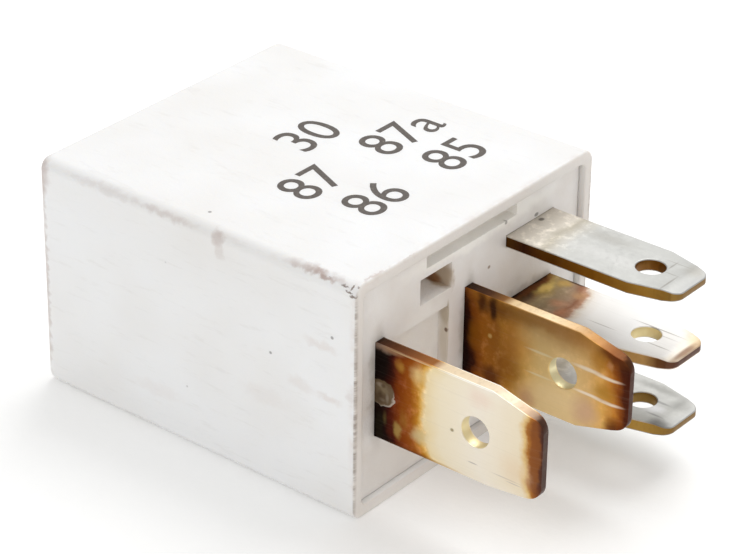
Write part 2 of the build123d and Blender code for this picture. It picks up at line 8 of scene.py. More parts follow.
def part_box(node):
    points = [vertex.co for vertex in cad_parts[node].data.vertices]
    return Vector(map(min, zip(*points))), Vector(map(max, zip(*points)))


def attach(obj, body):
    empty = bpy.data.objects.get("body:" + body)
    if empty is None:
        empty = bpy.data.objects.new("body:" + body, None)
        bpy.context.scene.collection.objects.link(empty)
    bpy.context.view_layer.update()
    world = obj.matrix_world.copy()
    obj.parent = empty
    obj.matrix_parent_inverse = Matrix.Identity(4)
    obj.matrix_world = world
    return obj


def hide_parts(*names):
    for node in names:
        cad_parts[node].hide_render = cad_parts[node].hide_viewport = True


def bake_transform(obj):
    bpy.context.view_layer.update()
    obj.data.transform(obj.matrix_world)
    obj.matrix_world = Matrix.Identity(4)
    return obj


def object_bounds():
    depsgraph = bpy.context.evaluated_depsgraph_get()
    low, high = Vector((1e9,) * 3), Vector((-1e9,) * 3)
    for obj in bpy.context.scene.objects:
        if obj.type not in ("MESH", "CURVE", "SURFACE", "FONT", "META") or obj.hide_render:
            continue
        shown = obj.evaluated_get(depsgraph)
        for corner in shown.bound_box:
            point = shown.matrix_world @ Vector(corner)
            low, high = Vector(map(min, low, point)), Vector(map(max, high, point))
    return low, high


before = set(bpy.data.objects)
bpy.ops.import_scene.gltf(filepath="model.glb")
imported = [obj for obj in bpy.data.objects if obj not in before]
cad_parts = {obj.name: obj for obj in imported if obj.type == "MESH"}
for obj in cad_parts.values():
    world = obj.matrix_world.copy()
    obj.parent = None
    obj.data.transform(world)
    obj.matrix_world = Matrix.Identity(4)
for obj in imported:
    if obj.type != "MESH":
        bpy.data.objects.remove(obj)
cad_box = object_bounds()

# Camera
# The photograph was taken with a long lens, from above the corner between
# the plain narrow side and the blades. Lengths in this file are in millimetres.
azimuth = radians(38.582)
elevation = radians(29.048)
roll = radians(0.735)
distance = 178.52
slide_right = -6.663
slide_up = 3.534
aim_height = -0.35
focal_length = 147.57

toward_eye = Vector((sin(azimuth) * cos(elevation), -cos(azimuth) * cos(elevation), sin(elevation)))
level_right = Vector((cos(azimuth), sin(azimuth), 0))
level_up = toward_eye.cross(level_right)
picture_right = level_right * cos(roll) + level_up * sin(roll)
picture_up = level_up * cos(roll) - level_right * sin(roll)
eye = Vector((0, 0, aim_height)) + toward_eye * distance
eye = eye + picture_right * slide_right + picture_up * slide_up
camera = bpy.data.objects.new("camera", bpy.data.cameras.new("camera"))
bpy.context.scene.collection.objects.link(camera)
camera_turn = Matrix((picture_right, picture_up, toward_eye)).transposed().to_4x4()
camera.matrix_world = Matrix.Translation(eye / 1000) @ camera_turn
camera.data.sensor_width = 36
camera.data.lens = focal_length
camera.data.clip_start = 0.005
bpy.context.scene.camera = camera
bpy.context.scene.view_settings.view_transform = "Standard"


# Floor and light
# A sheet of white card under a large softbox, with a weaker one in front and
# an even white room, as in a light tent: pale shadows, no hard reflections.
card_size = 1600
key_place = (-30, 180, 310)
key_size = 260
key_power = 0.68
fill_place = (130, -310, 190)
fill_size = 300
fill_power = 0.13
room_level = 0.68
card_glow = 0.13


def linear(code):
    """Linear colour of an sRGB hex value."""
    shares = [int(code[i : i + 2], 16) / 255 for i in (1, 3, 5)]
    return [s / 12.92 if s <= 0.04045 else ((s + 0.055) / 1.055) ** 2.4 for s in shares] + [1]


def add(tree, kind, inputs=None, out=0, stops=None, curve=None, **settings):
    """Adds a shader node with its settings, values and links, and returns one of its outputs.

    Sockets go by number where the node has several of one name; a hex value becomes a colour."""
    made = tree.nodes.new("ShaderNode" + kind)
    for name, value in settings.items():
        setattr(made, name, value)
    for socket, value in (inputs or {}).items():
        if isinstance(value, bpy.types.NodeSocket):
            tree.links.new(value, made.inputs[socket])
        else:
            made.inputs[socket].default_value = linear(value) if isinstance(value, str) else value
    if stops:
        elements = made.color_ramp.elements
        while len(elements) < len(stops):
            elements.new(1)
        for element, (place, code) in zip(elements, stops):
            element.position = place
            element.color = linear(code)
    if curve:
        points = made.mapping.curves[0].points
        while len(points) < len(curve):
            points.new(0.5, 0.5)
        for point, place in zip(points, curve):
            point.location = place
        made.mapping.update()
    return made.outputs[out]


def new_surface(name):
    """Empty material, with the place on the piece in millimetres."""
    surface = bpy.data.materials.new(name)
    surface.use_nodes = True
    surface.node_tree.nodes.clear()
    tree = surface.node_tree
    place = add(tree, "Mapping", {0: add(tree, "TexCoord", out="Object"), 3: (1000, 1000, 1000)})
    return surface, tree, place


def finish_surface(tree, color, roughness, height=None, relief=0.01, metallic=0, **sockets):
    """Principled shader at the end of a material; relief is the bump's depth in millimetres."""
    inputs = {"Base Color": color, "Roughness": roughness, "Metallic": metallic}
    inputs.update({name.replace("_", " "): value for name, value in sockets.items()})
    if height is not None:
        inputs["Normal"] = add(tree, "Bump", {"Strength": 1, "Distance": relief / 1000, "Height": height})
    shader = add(tree, "BsdfPrincipled", inputs)
    end = tree.nodes.new("ShaderNodeOutputMaterial")
    tree.links.new(shader, end.inputs[0])


# White card: uncoated and even, with a faint paper tooth
card, tree, place = new_surface("white_card")
tooth = add(tree, "TexNoise", {"Vector": place, "Scale": 1.2, "Detail": 4})
shade = add(tree, "Mix", {0: tooth, 6: "#F6F6F5", 7: "#F9F9F8"}, out=2, data_type="RGBA")
finish_surface(tree, shade, 0.9, tooth, 0.02, Emission_Color="#FFFFFF", Emission_Strength=card_glow)
bm = bmesh.new()
bmesh.ops.create_grid(bm, x_segments=8, y_segments=8, size=card_size / 2000)
bmesh.ops.translate(bm, verts=bm.verts, vec=(0, 0, cad_box[0][2]))
floor = bpy.data.objects.new("floor", bpy.data.meshes.new("floor"))
bm.to_mesh(floor.data)
bm.free()
floor.data.materials.append(card)
bpy.context.scene.collection.objects.link(floor)

for name, stand, size, power in (
    ("key_softbox", key_place, key_size, key_power),
    ("fill_softbox", fill_place, fill_size, fill_power),
):
    softbox = bpy.data.objects.new(name, bpy.data.lights.new(name, "AREA"))
    softbox.data.shape = "SQUARE"
    softbox.data.size = size / 1000
    softbox.data.energy = power
    stand = Vector(stand) / 1000
    softbox_turn = stand.to_track_quat("Z", "Y").to_matrix().to_4x4()
    softbox.matrix_world = Matrix.Translation(stand) @ softbox_turn
    bpy.context.scene.collection.objects.link(softbox)

room = bpy.data.worlds.new("white_room")
room.use_nodes = True
room.node_tree.nodes["Background"].inputs[0].default_value = linear("#FFFFFF")
room.node_tree.nodes["Background"].inputs[1].default_value = room_level
bpy.context.scene.world = room


# Cover
# Deep cap with 0.8 mm walls, injection moulded in white PBT and pushed over
# the base. The narrow walls have draft, and four ribs inside stop the base.
cover_length = 25.0
cover_half_y = 11.5
cover_half_z = 7.85
cover_wall = 0.8
cavity_half_y = cover_half_y - cover_wall
cavity_half_z = cover_half_z - cover_wall
cover_end_draft = 0.2
cover_corner = 0.8
cover_end_edge = 0.6
cavity_corner = 0.4
rim_edge = 0.15
base_inner = -3.2
catch_near = -1.55
catch_far = -2.65
catch_y = (5.15, 9.25)
catch_depth = 0.25
rib_y = 8.6
rib_width = 0.8
rib_height = 0.5
rib_length = base_inner - cover_wall + cover_length


def round_edges(bm, edges, radius, segments, **settings):
    """Rounds edges to a radius in millimetres."""
    bmesh.ops.bevel(
        bm,
        geom=edges,
        offset=radius,
        affect="EDGES",
        segments=segments,
        profile=0.5,
        material=-1,
        **settings,
    )


def drafted_block(bm, half_y, half_z, end, corner):
    """Adds a block behind the rim plane that narrows to x = end, open at the rim."""
    made = bmesh.ops.create_cube(bm, size=1)["verts"]
    bmesh.ops.translate(bm, verts=made, vec=(-0.5, 0, 0))
    bmesh.ops.scale(bm, verts=made, vec=(-end, 2 * half_y, 2 * half_z))
    far = [v for v in made if v.co.x < end / 2]
    narrowed = (half_y + cover_end_draft * end / cover_length) / half_y
    bmesh.ops.scale(bm, verts=far, vec=(1, narrowed, 1))
    own = {e for v in made for e in v.link_edges}
    long_edges = [e for e in own if abs(e.verts[0].co.x - e.verts[1].co.x) > 1]
    round_edges(bm, long_edges, corner, 6)


def lies_on(part, axis, level):
    """Whether every corner of an edge or face lies on the plane where x, y or z is level."""
    return all(abs(v.co[axis] - level) < 0.001 for v in part.verts)


def make_piece(name, bm, surface, body, *nodes, slot=None):
    """Turns a mesh in millimetres into a piece that rides on a body in place of CAD nodes."""
    bmesh.ops.scale(bm, verts=bm.verts, vec=(0.001, 0.001, 0.001))
    mesh = bpy.data.meshes.new(name)
    bm.to_mesh(mesh)
    bm.free()
    mesh.materials.append(surface)
    mesh.polygons.foreach_set("use_smooth", [True] * len(mesh.polygons))
    piece = bpy.data.objects.new(name, mesh)
    bpy.context.scene.collection.objects.link(piece)
    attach(piece, body)
    if nodes:
        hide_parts(*nodes)
    return piece


def even_normals(piece):
    """Keeps the flat faces flat beside their rounded edges."""
    shading = piece.modifiers.new("even_normals", "WEIGHTED_NORMAL")
    shading.mode = "FACE_AREA"
    shading.weight = 100
    shading.keep_sharp = True


bm = bmesh.new()
drafted_block(bm, cover_half_y, cover_half_z, -cover_length, cover_corner)
end_loop = [
    e
    for e in bm.edges
    if lies_on(e, 0, -cover_length) and len({round(f.normal.x) for f in e.link_faces}) > 1
]
round_edges(bm, end_loop, cover_end_edge, 6)
outer_faces = set(bm.faces)
drafted_block(bm, cavity_half_y, cavity_half_z, cover_wall - cover_length, cavity_corner)
bmesh.ops.reverse_faces(bm, faces=[f for f in bm.faces if f not in outer_faces])
bmesh.ops.delete(bm, geom=[f for f in bm.faces if lies_on(f, 0, 0)], context="FACES_ONLY")
bmesh.ops.bridge_loops(bm, edges=[e for e in bm.edges if e.is_boundary])
rim_edges = [e for e in bm.edges if lies_on(e, 0, 0) and e.calc_face_angle() > 1]
round_edges(bm, rim_edges, rim_edge, 3)

# Four grooves for the base's catches and four ribs that stop it, in the wide walls
for side in (-1, 1):
    wall = side * cavity_half_z
    for low, high in ((-catch_y[1], -catch_y[0]), catch_y):
        for point, normal in (
            ((catch_near, 0, 0), (1, 0, 0)),
            ((catch_far, 0, 0), (1, 0, 0)),
            ((0, low, 0), (0, 1, 0)),
            ((0, high, 0), (0, 1, 0)),
        ):
            flat = [f for f in bm.faces if lies_on(f, 2, wall)]
            geom = list({v for f in flat for v in f.verts} | {e for f in flat for e in f.edges}) + flat
            bmesh.ops.bisect_plane(bm, geom=geom, plane_co=point, plane_no=normal)
        groove = [
            f
            for f in bm.faces
            if lies_on(f, 2, wall)
            and catch_far < f.calc_center_median().x < catch_near
            and low < f.calc_center_median().y < high
        ]
        sunk = bmesh.ops.extrude_face_region(bm, geom=groove)["geom"]
        sunk = [part for part in sunk if isinstance(part, bmesh.types.BMVert)]
        bmesh.ops.translate(bm, verts=sunk, vec=(0, 0, side * catch_depth))
        bmesh.ops.delete(bm, geom=groove, context="FACES")
        rib = bmesh.ops.create_cube(bm, size=1)["verts"]
        bmesh.ops.scale(bm, verts=rib, vec=(rib_length, rib_width, rib_height))
        rib_middle_y = rib_y if low > 0 else -rib_y
        rib_middle_z = side * (cavity_half_z - rib_height / 2)
        bmesh.ops.translate(bm, verts=rib, vec=(base_inner - rib_length / 2, rib_middle_y, rib_middle_z))

# White PBT, moulded against a fine spark-eroded mould: satin, with handling
# marks that have gone brown-grey on the edges and a few dark specks
cover_white = "#F2F2F2"
cover_aged = "#EBE9E6"
cover_grime = "#BC9A84"
cover_brown = "#8E5E44"
speck_grey = "#6E6A68"
rim_dusty = "#E3DCD5"
rim_line = "#6A5444"
scuff_grey = "#BDB6AE"
worn_band = 0.6
pbt_ior = 1.53
pbt_glow = (1.0, 0.9, 0.75)


def smudge(tree, place, centre, size, soft, strength=1.0):
    """Mask of a soft oval at a place on the piece, in millimetres: full inside, none outside."""
    offset = add(tree, "VectorMath", {0: place, 1: centre}, operation="SUBTRACT")
    shrunk = add(tree, "VectorMath", {0: offset, 1: size}, operation="DIVIDE")
    reach = add(tree, "VectorMath", {0: shrunk}, "Value", operation="LENGTH")
    return add(
        tree,
        "MapRange",
        {"Value": reach, "From Min": 1 + soft, "From Max": 1 - soft, "To Min": 0, "To Max": strength},
        interpolation_type="SMOOTHSTEP",
    )


def dab(tree, shade, code, place, centre, size, soft, strength=1.0):
    """The shade with a soft oval of another colour dabbed on it."""
    mask = smudge(tree, place, centre, size, soft, strength)
    return add(tree, "Mix", {0: mask, 6: shade, 7: code}, out=2, data_type="RGBA")


def jitter(tree, place, scale, detail, reach):
    """The place shaken by noise, half of reach to each side, so that marks get ragged outlines."""
    noise = add(tree, "TexNoise", {"Vector": place, "Scale": scale, "Detail": detail}, "Color")
    noise = add(tree, "VectorMath", {0: noise, 1: (0.5, 0.5, 0.5)}, operation="SUBTRACT")
    noise = add(tree, "VectorMath", {0: noise, 1: reach}, operation="MULTIPLY")
    return add(tree, "VectorMath", {0: place, 1: noise}, operation="ADD")


cover_plastic, tree, place = new_surface("white_moulded_pbt")
sink = add(tree, "TexNoise", {"Vector": place, "Scale": 0.12, "Detail": 2})
mottle = add(tree, "TexNoise", {"Vector": place, "Scale": 0.7, "Detail": 5, "Roughness": 0.6})
grain = add(tree, "TexNoise", {"Vector": place, "Scale": 7.0, "Detail": 3})
stretched = add(tree, "Mapping", {0: place, 2: (0, radians(35), 0), 3: (0.25, 1.0, 1.6)})
scuffs = add(tree, "TexNoise", {"Vector": stretched, "Scale": 1.5, "Detail": 6, "Roughness": 0.7})
aged = add(tree, "MapRange", {"Value": sink, "From Min": 0.35, "From Max": 0.75})
shade = add(tree, "Mix", {0: aged, 6: cover_white, 7: cover_aged}, out=2, data_type="RGBA")

# Grime rubbed in where two sides meet, then faint scuffs
axes = add(tree, "SeparateXYZ", {0: place}).node.outputs
nearness = []
for axis, middle, half in (
    (0, -cover_length / 2, cover_length / 2),
    (1, 0, cover_half_y),
    (2, 0, cover_half_z),
):
    off = add(tree, "Math", {0: axes[axis], 1: middle}, operation="SUBTRACT")
    off = add(tree, "Math", {0: off}, operation="ABSOLUTE")
    band = {"Value": off, "From Min": half - worn_band, "From Max": half}
    nearness.append(add(tree, "MapRange", band, interpolation_type="SMOOTHSTEP"))
pairs = [
    add(tree, "Math", {0: nearness[i], 1: nearness[j]}, operation="MULTIPLY")
    for i, j in ((0, 1), (1, 2), (0, 2))
]
edge = add(tree, "Math", {0: pairs[0], 1: pairs[1]}, operation="MAXIMUM")
edge = add(tree, "Math", {0: edge, 1: pairs[2]}, operation="MAXIMUM")
worn = add(tree, "MapRange", {"Value": mottle, "From Min": 0.45, "From Max": 0.75, "To Max": 0.4})
worn = add(tree, "Math", {0: edge, 1: worn}, operation="MULTIPLY")
shade = add(tree, "Mix", {0: worn, 6: shade, 7: cover_grime}, out=2, data_type="RGBA")
faint = add(tree, "MapRange", {"Value": scuffs, "From Min": 0.56, "From Max": 0.74, "To Max": 0.16})
shade = add(tree, "Mix", {0: faint, 6: shade, 7: scuff_grey}, out=2, data_type="RGBA")
ragged = jitter(tree, place, 1.6, 4, (1, 1, 1))
for code, centre, size, strength in (
    (cover_brown, (-10.4, -11.5, 7.35), (0.45, 0.8, 0.45), 0.3),
    (cover_brown, (-10.2, -11.5, 6.6), (0.3, 0.8, 0.5), 0.15),
    (cover_brown, (-3.2, -11.5, 7.75), (2.0, 0.7, 0.22), 0.4),
    (cover_brown, (-2.6, -11.5, 7.72), (0.9, 0.6, 0.2), 0.35),
    (cover_brown, (-14.6, -11.5, 7.5), (2.4, 0.5, 0.25), 0.22),
    (cover_brown, (-19.5, -11.5, 7.5), (2.6, 0.6, 0.25), 0.12),
    (cover_brown, (-24.7, -11.4, 6.7), (0.6, 1.0, 1.0), 0.3),
    (cover_brown, (-24.8, -11.4, 0.0), (0.35, 0.8, 8.5), 0.32),
    (cover_brown, (-0.3, -11.5, 0.6), (0.3, 0.6, 0.5), 0.15),
    (cover_brown, (-0.1, -9.6, 7.85), (0.12, 1.2, 0.4), 0.3),
    (cover_brown, (-0.1, -6.6, 7.85), (0.1, 0.5, 0.4), 0.35),
    (cover_grime, (-2.6, -11.5, 3.2), (1.1, 0.4, 0.3), 0.16),
    (cover_grime, (-1.9, -11.5, -0.1), (0.8, 0.4, 0.25), 0.2),
    (cover_grime, (-4.1, -11.5, 0.0), (0.9, 0.4, 0.45), 0.13),
    (cover_grime, (-6.8, -11.5, -1.8), (1.6, 0.4, 0.6), 0.08),
    (cover_grime, (-15.5, -11.5, -4.8), (1.8, 0.4, 0.5), 0.07),
):
    shade = dab(tree, shade, code, ragged, centre, size, 0.5, strength)

# The rim is dusty, with a broken dark line along its two narrow sides
rim_face = add(tree, "MapRange", {"Value": axes[0], "From Min": -0.12, "From Max": -0.02, "To Max": 0.8})
shade = add(tree, "Mix", {0: rim_face, 6: shade, 7: rim_dusty}, out=2, data_type="RGBA")
drawn_out = add(tree, "VectorMath", {0: place, 1: (0.1, 0.1, 1.3)}, operation="MULTIPLY")
dashes = add(tree, "TexNoise", {"Vector": drawn_out, "Scale": 1.0, "Detail": 5, "Roughness": 0.75})
dashes = {"Value": dashes, "From Min": 0.42, "From Max": 0.66, "To Min": 0.12, "To Max": 0.85}
dashes = add(tree, "MapRange", dashes)
for side in (-1, 1):
    line = smudge(tree, place, (-0.03, side * cover_half_y, 0), (0.07, 0.25, 9.0), 0.5)
    line = add(tree, "Math", {0: line, 1: dashes}, operation="MULTIPLY")
    shade = add(tree, "Mix", {0: line, 6: shade, 7: rim_line}, out=2, data_type="RGBA")

# Chips at the corner by terminal 30, and specks
crumbled = jitter(tree, place, 5.0, 3, (0.35, 0.35, 0.35))
for centre, size in (
    ((-0.95, -11.45, 7.55), (0.3, 0.3, 0.06)),
    ((-0.55, -11.4, 7.35), (0.28, 0.3, 0.06)),
    ((-0.2, -11.5, 7.2), (0.2, 0.3, 0.07)),
    ((-0.45, -11.3, 7.65), (0.07, 0.3, 0.16)),
    ((-0.1, -11.2, 7.8), (0.2, 0.16, 0.1)),
    ((-2.2, -11.5, 7.7), (0.5, 0.3, 0.05)),
    ((-3.4, -11.5, 7.72), (0.35, 0.3, 0.05)),
):
    shade = dab(tree, shade, rim_line, crumbled, centre, size, 0.4, 0.8)
for centre in (
    (-23.37, -11.5, 3.07),
    (-14.55, -11.5, 4.32),
    (-13.0, -11.5, -3.62),
    (-6.35, -11.5, 1.27),
    (-1.71, -11.5, 4.01),
    (-12.3, -9.9, 7.85),
    (-21.9, -11.5, 0.2),
    (-8.0, 11.5, 3.0),
    (-17.0, 11.5, -2.4),
    (-20.0, 6.0, -7.85),
    (-25.0, 3.0, 2.0),
):
    shade = dab(tree, shade, speck_grey, place, centre, (0.11, 0.11, 0.1), 0.4, 0.7)
fine = add(tree, "Math", {0: grain, 1: 0.35}, operation="MULTIPLY")
broad = add(tree, "Math", {0: mottle, 1: 1.2}, operation="MULTIPLY")
skin = add(tree, "Math", {0: fine, 1: broad}, operation="ADD")
gloss = {"Value": mottle, "From Min": 0.3, "From Max": 0.7, "To Min": 0.42, "To Max": 0.56}
gloss = add(tree, "MapRange", gloss)
finish_surface(
    tree,
    shade,
    gloss,
    skin,
    0.03,
    IOR=pbt_ior,
    Subsurface_Weight=0.15,
    Subsurface_Scale=0.0008,
    Subsurface_Radius=pbt_glow,
)
cover = make_piece("cover_shell", bm, cover_plastic, "housing", "cover", slot="cover_plastic")
even_normals(cover)


# Printed numbers
# The terminals' numbers, pad printed on the wide side in satin, dark brown-grey
# ink that is a little uneven and stands about a hundredth of a millimetre proud.
print_lines = (("30", (-14.2, 1.5), 4.2), ("87   87a", (-10.0, 1.5), 4.2), ("86   85", (-5.8, 1.5), 4.2))
print_turn = radians(90)
ink_thickness = 0.008

printing_ink, tree, place = new_surface("pad_printing_ink")
uneven = add(tree, "TexNoise", {"Vector": place, "Scale": 5.0, "Detail": 4})
shade = add(tree, "ValToRGB", {0: uneven}, stops=[(0.3, "#4A423C"), (0.6, "#5A524B"), (0.8, "#7C746C")])
gloss = add(tree, "MapRange", {"Value": uneven, "To Min": 0.4, "To Max": 0.6})
finish_surface(tree, shade, gloss, uneven, 0.01)
bm = bmesh.new()
for words, (x, y), height in print_lines:
    line = bpy.data.curves.new("line", "FONT")
    line.body = words
    line.align_x = "CENTER"
    line.align_y = "CENTER"
    line.size = height
    line.resolution_u = 6
    line.extrude = ink_thickness / 2
    carrier = bpy.data.objects.new("line", line)
    bpy.context.scene.collection.objects.link(carrier)
    bpy.context.view_layer.update()
    flat = bpy.data.meshes.new_from_object(carrier)
    on_top = Matrix.Translation((x, y, cover_half_z + ink_thickness / 2))
    flat.transform(on_top @ Matrix.Rotation(print_turn, 4, "Z"))
    bm.from_mesh(flat)
    bpy.data.objects.remove(carrier)
make_piece("printed_numbers", bm, printing_ink, "housing", slot="cover_plastic")


# Base
# Moulded plate of natural PBT that closes the cover, with slots for the
# blades, a key notch, and a deck inside for the yoke. It is darker tan round
# the roots of the load blades, with painted shade and painted light on it.
base_round = 0.06
base_ragged_from = 0.3


def dress(node, name, radius, surface, body, slot, segments=2, sharp_from=30):
    """Shows a CAD node as a piece whose edges, where sharper than an angle, are rounded."""
    bm = bmesh.new()
    bm.from_mesh(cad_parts[node].data)
    bmesh.ops.scale(bm, verts=bm.verts, vec=(1000, 1000, 1000))
    bmesh.ops.remove_doubles(bm, verts=bm.verts, dist=0.002)
    bmesh.ops.dissolve_limit(
        bm, angle_limit=radians(1), verts=bm.verts, edges=bm.edges, delimit={"NORMAL"}
    )
    sharp = [
        e
        for e in bm.edges
        if len(e.link_faces) == 2 and e.calc_face_angle() > radians(sharp_from)
    ]
    round_edges(bm, sharp, radius, segments, clamp_overlap=True, miter_outer="ARC")
    piece = make_piece(name, bm, surface, body, node, slot=slot)
    even_normals(piece)
    return piece


# Natural PBT, moulded matt: ivory, darker tan round the roots of terminals 30, 87 and
# 87a, with painted shade on the walls of the pocket and recess and below terminal 30,
# and painted light on the recess floor and along the key notch
base_plastic, tree, place = new_surface("natural_moulded_pbt")
mottle = add(tree, "TexNoise", {"Vector": place, "Scale": 0.5, "Detail": 4})
grain = add(tree, "TexNoise", {"Vector": place, "Scale": 9.0, "Detail": 3})
shade = add(tree, "ValToRGB", {0: mottle}, stops=[(0.3, "#F0ECE8"), (0.7, "#E9E3DD")])
ragged = jitter(tree, place, 1.1, 3, (1, 1, 1))
for code, centre, size, strength in (
    # Darker tan round the roots of terminals 30, 87 and 87a
    ("#A0907C", (-0.6, -8.9, 0.0), (0.9, 0.75, 3.7), 0.5),
    ("#9C8A72", (-0.6, -0.3, 0.0), (0.9, 0.7, 3.6), 0.5),
    ("#A89A86", (-0.6, 5.7, 0.0), (0.9, 2.7, 0.8), 0.5),
    # Painted shade: darker below terminal 30
    ("#D9D2CB", (-0.6, -7.4, -5.2), (0.9, 3.4, 2.0), 0.7),
    # Painted light: lighter on the recess floor between terminals 30 and 87, and along the key notch at the
    # top
    ("#F8F5F0", (-0.6, -4.6, 1.0), (0.9, 2.3, 2.6), 0.9),
    ("#FFFBF4", (-0.8, 0.6, 6.3), (1.4, 6.5, 0.75), 1.0),
    # Painted shade on the walls of the recess round terminal 30 and of the pocket beside it
    ("#A8987C", (-0.5, -2.35, 2.1), (0.5, 0.12, 0.8), 0.7),
    ("#C8BBA6", (-0.5, -2.35, 0.2), (0.5, 0.12, 1.6), 0.6),
    ("#B09878", (-1.3, -2.05, 4.3), (1.0, 0.4, 1.1), 0.8),
    ("#8A5416", (-1.9, -2.05, 3.95), (0.7, 0.25, 0.35), 0.85),
    ("#6E5038", (-0.5, -2.4, 0.95), (0.12, 0.2, 0.15), 0.9),
    ("#8A6A48", (-0.5, 1.62, 3.54), (0.2, 0.14, 0.12), 0.8),
    ("#4E4842", (-0.4, 6.3, 5.2), (0.3, 0.2, 0.12), 0.7),
    ("#5E4A38", (-0.4, 3.2, 5.9), (0.3, 0.12, 0.12), 0.6),
):
    where = ragged if min(size) > base_ragged_from else place
    shade = dab(tree, shade, code, where, centre, size, 0.4, strength)
skin = add(tree, "Math", {0: grain, 1: mottle}, operation="ADD")
gloss = add(tree, "MapRange", {"Value": mottle, "To Min": 0.45, "To Max": 0.6})
finish_surface(
    tree,
    shade,
    gloss,
    skin,
    0.02,
    IOR=pbt_ior,
    Subsurface_Weight=0.2,
    Subsurface_Scale=0.001,
    Subsurface_Radius=pbt_glow,
)
dress("base", "base_plate", base_round, base_plastic, "housing", "base_plastic")


# Blades
# Stamped from 0.8 mm tin-plated brass: one edge rounded by the punch, the rest
# sheared bare, tips and holes coined. Bad contacts have burnt terminals 30 and
# 87 black at the root, with brown, gold and straw oxide on the tin beyond it.
blade_round = 0.07
blade_ragged_from = 0.2
terminal_30_y = -8.75
terminal_87_y = -0.3
row_y = 5.7
row_spacing = 4.56
half_sheet = 0.4
half_wide = 3.15
wide_hole = (6.83, 1.0)
narrow_hole = (8.35, 0.925)
coin_start = 10.4
blade_reach = 11.4
coin_depth = 0.15
ramp_start = -0.6
ramp_length = 12.2
most_shift = 2
indoor_tin = "#BDB199"
roller_grey = "#9A9186"
torn_brown = "#6E4A22"


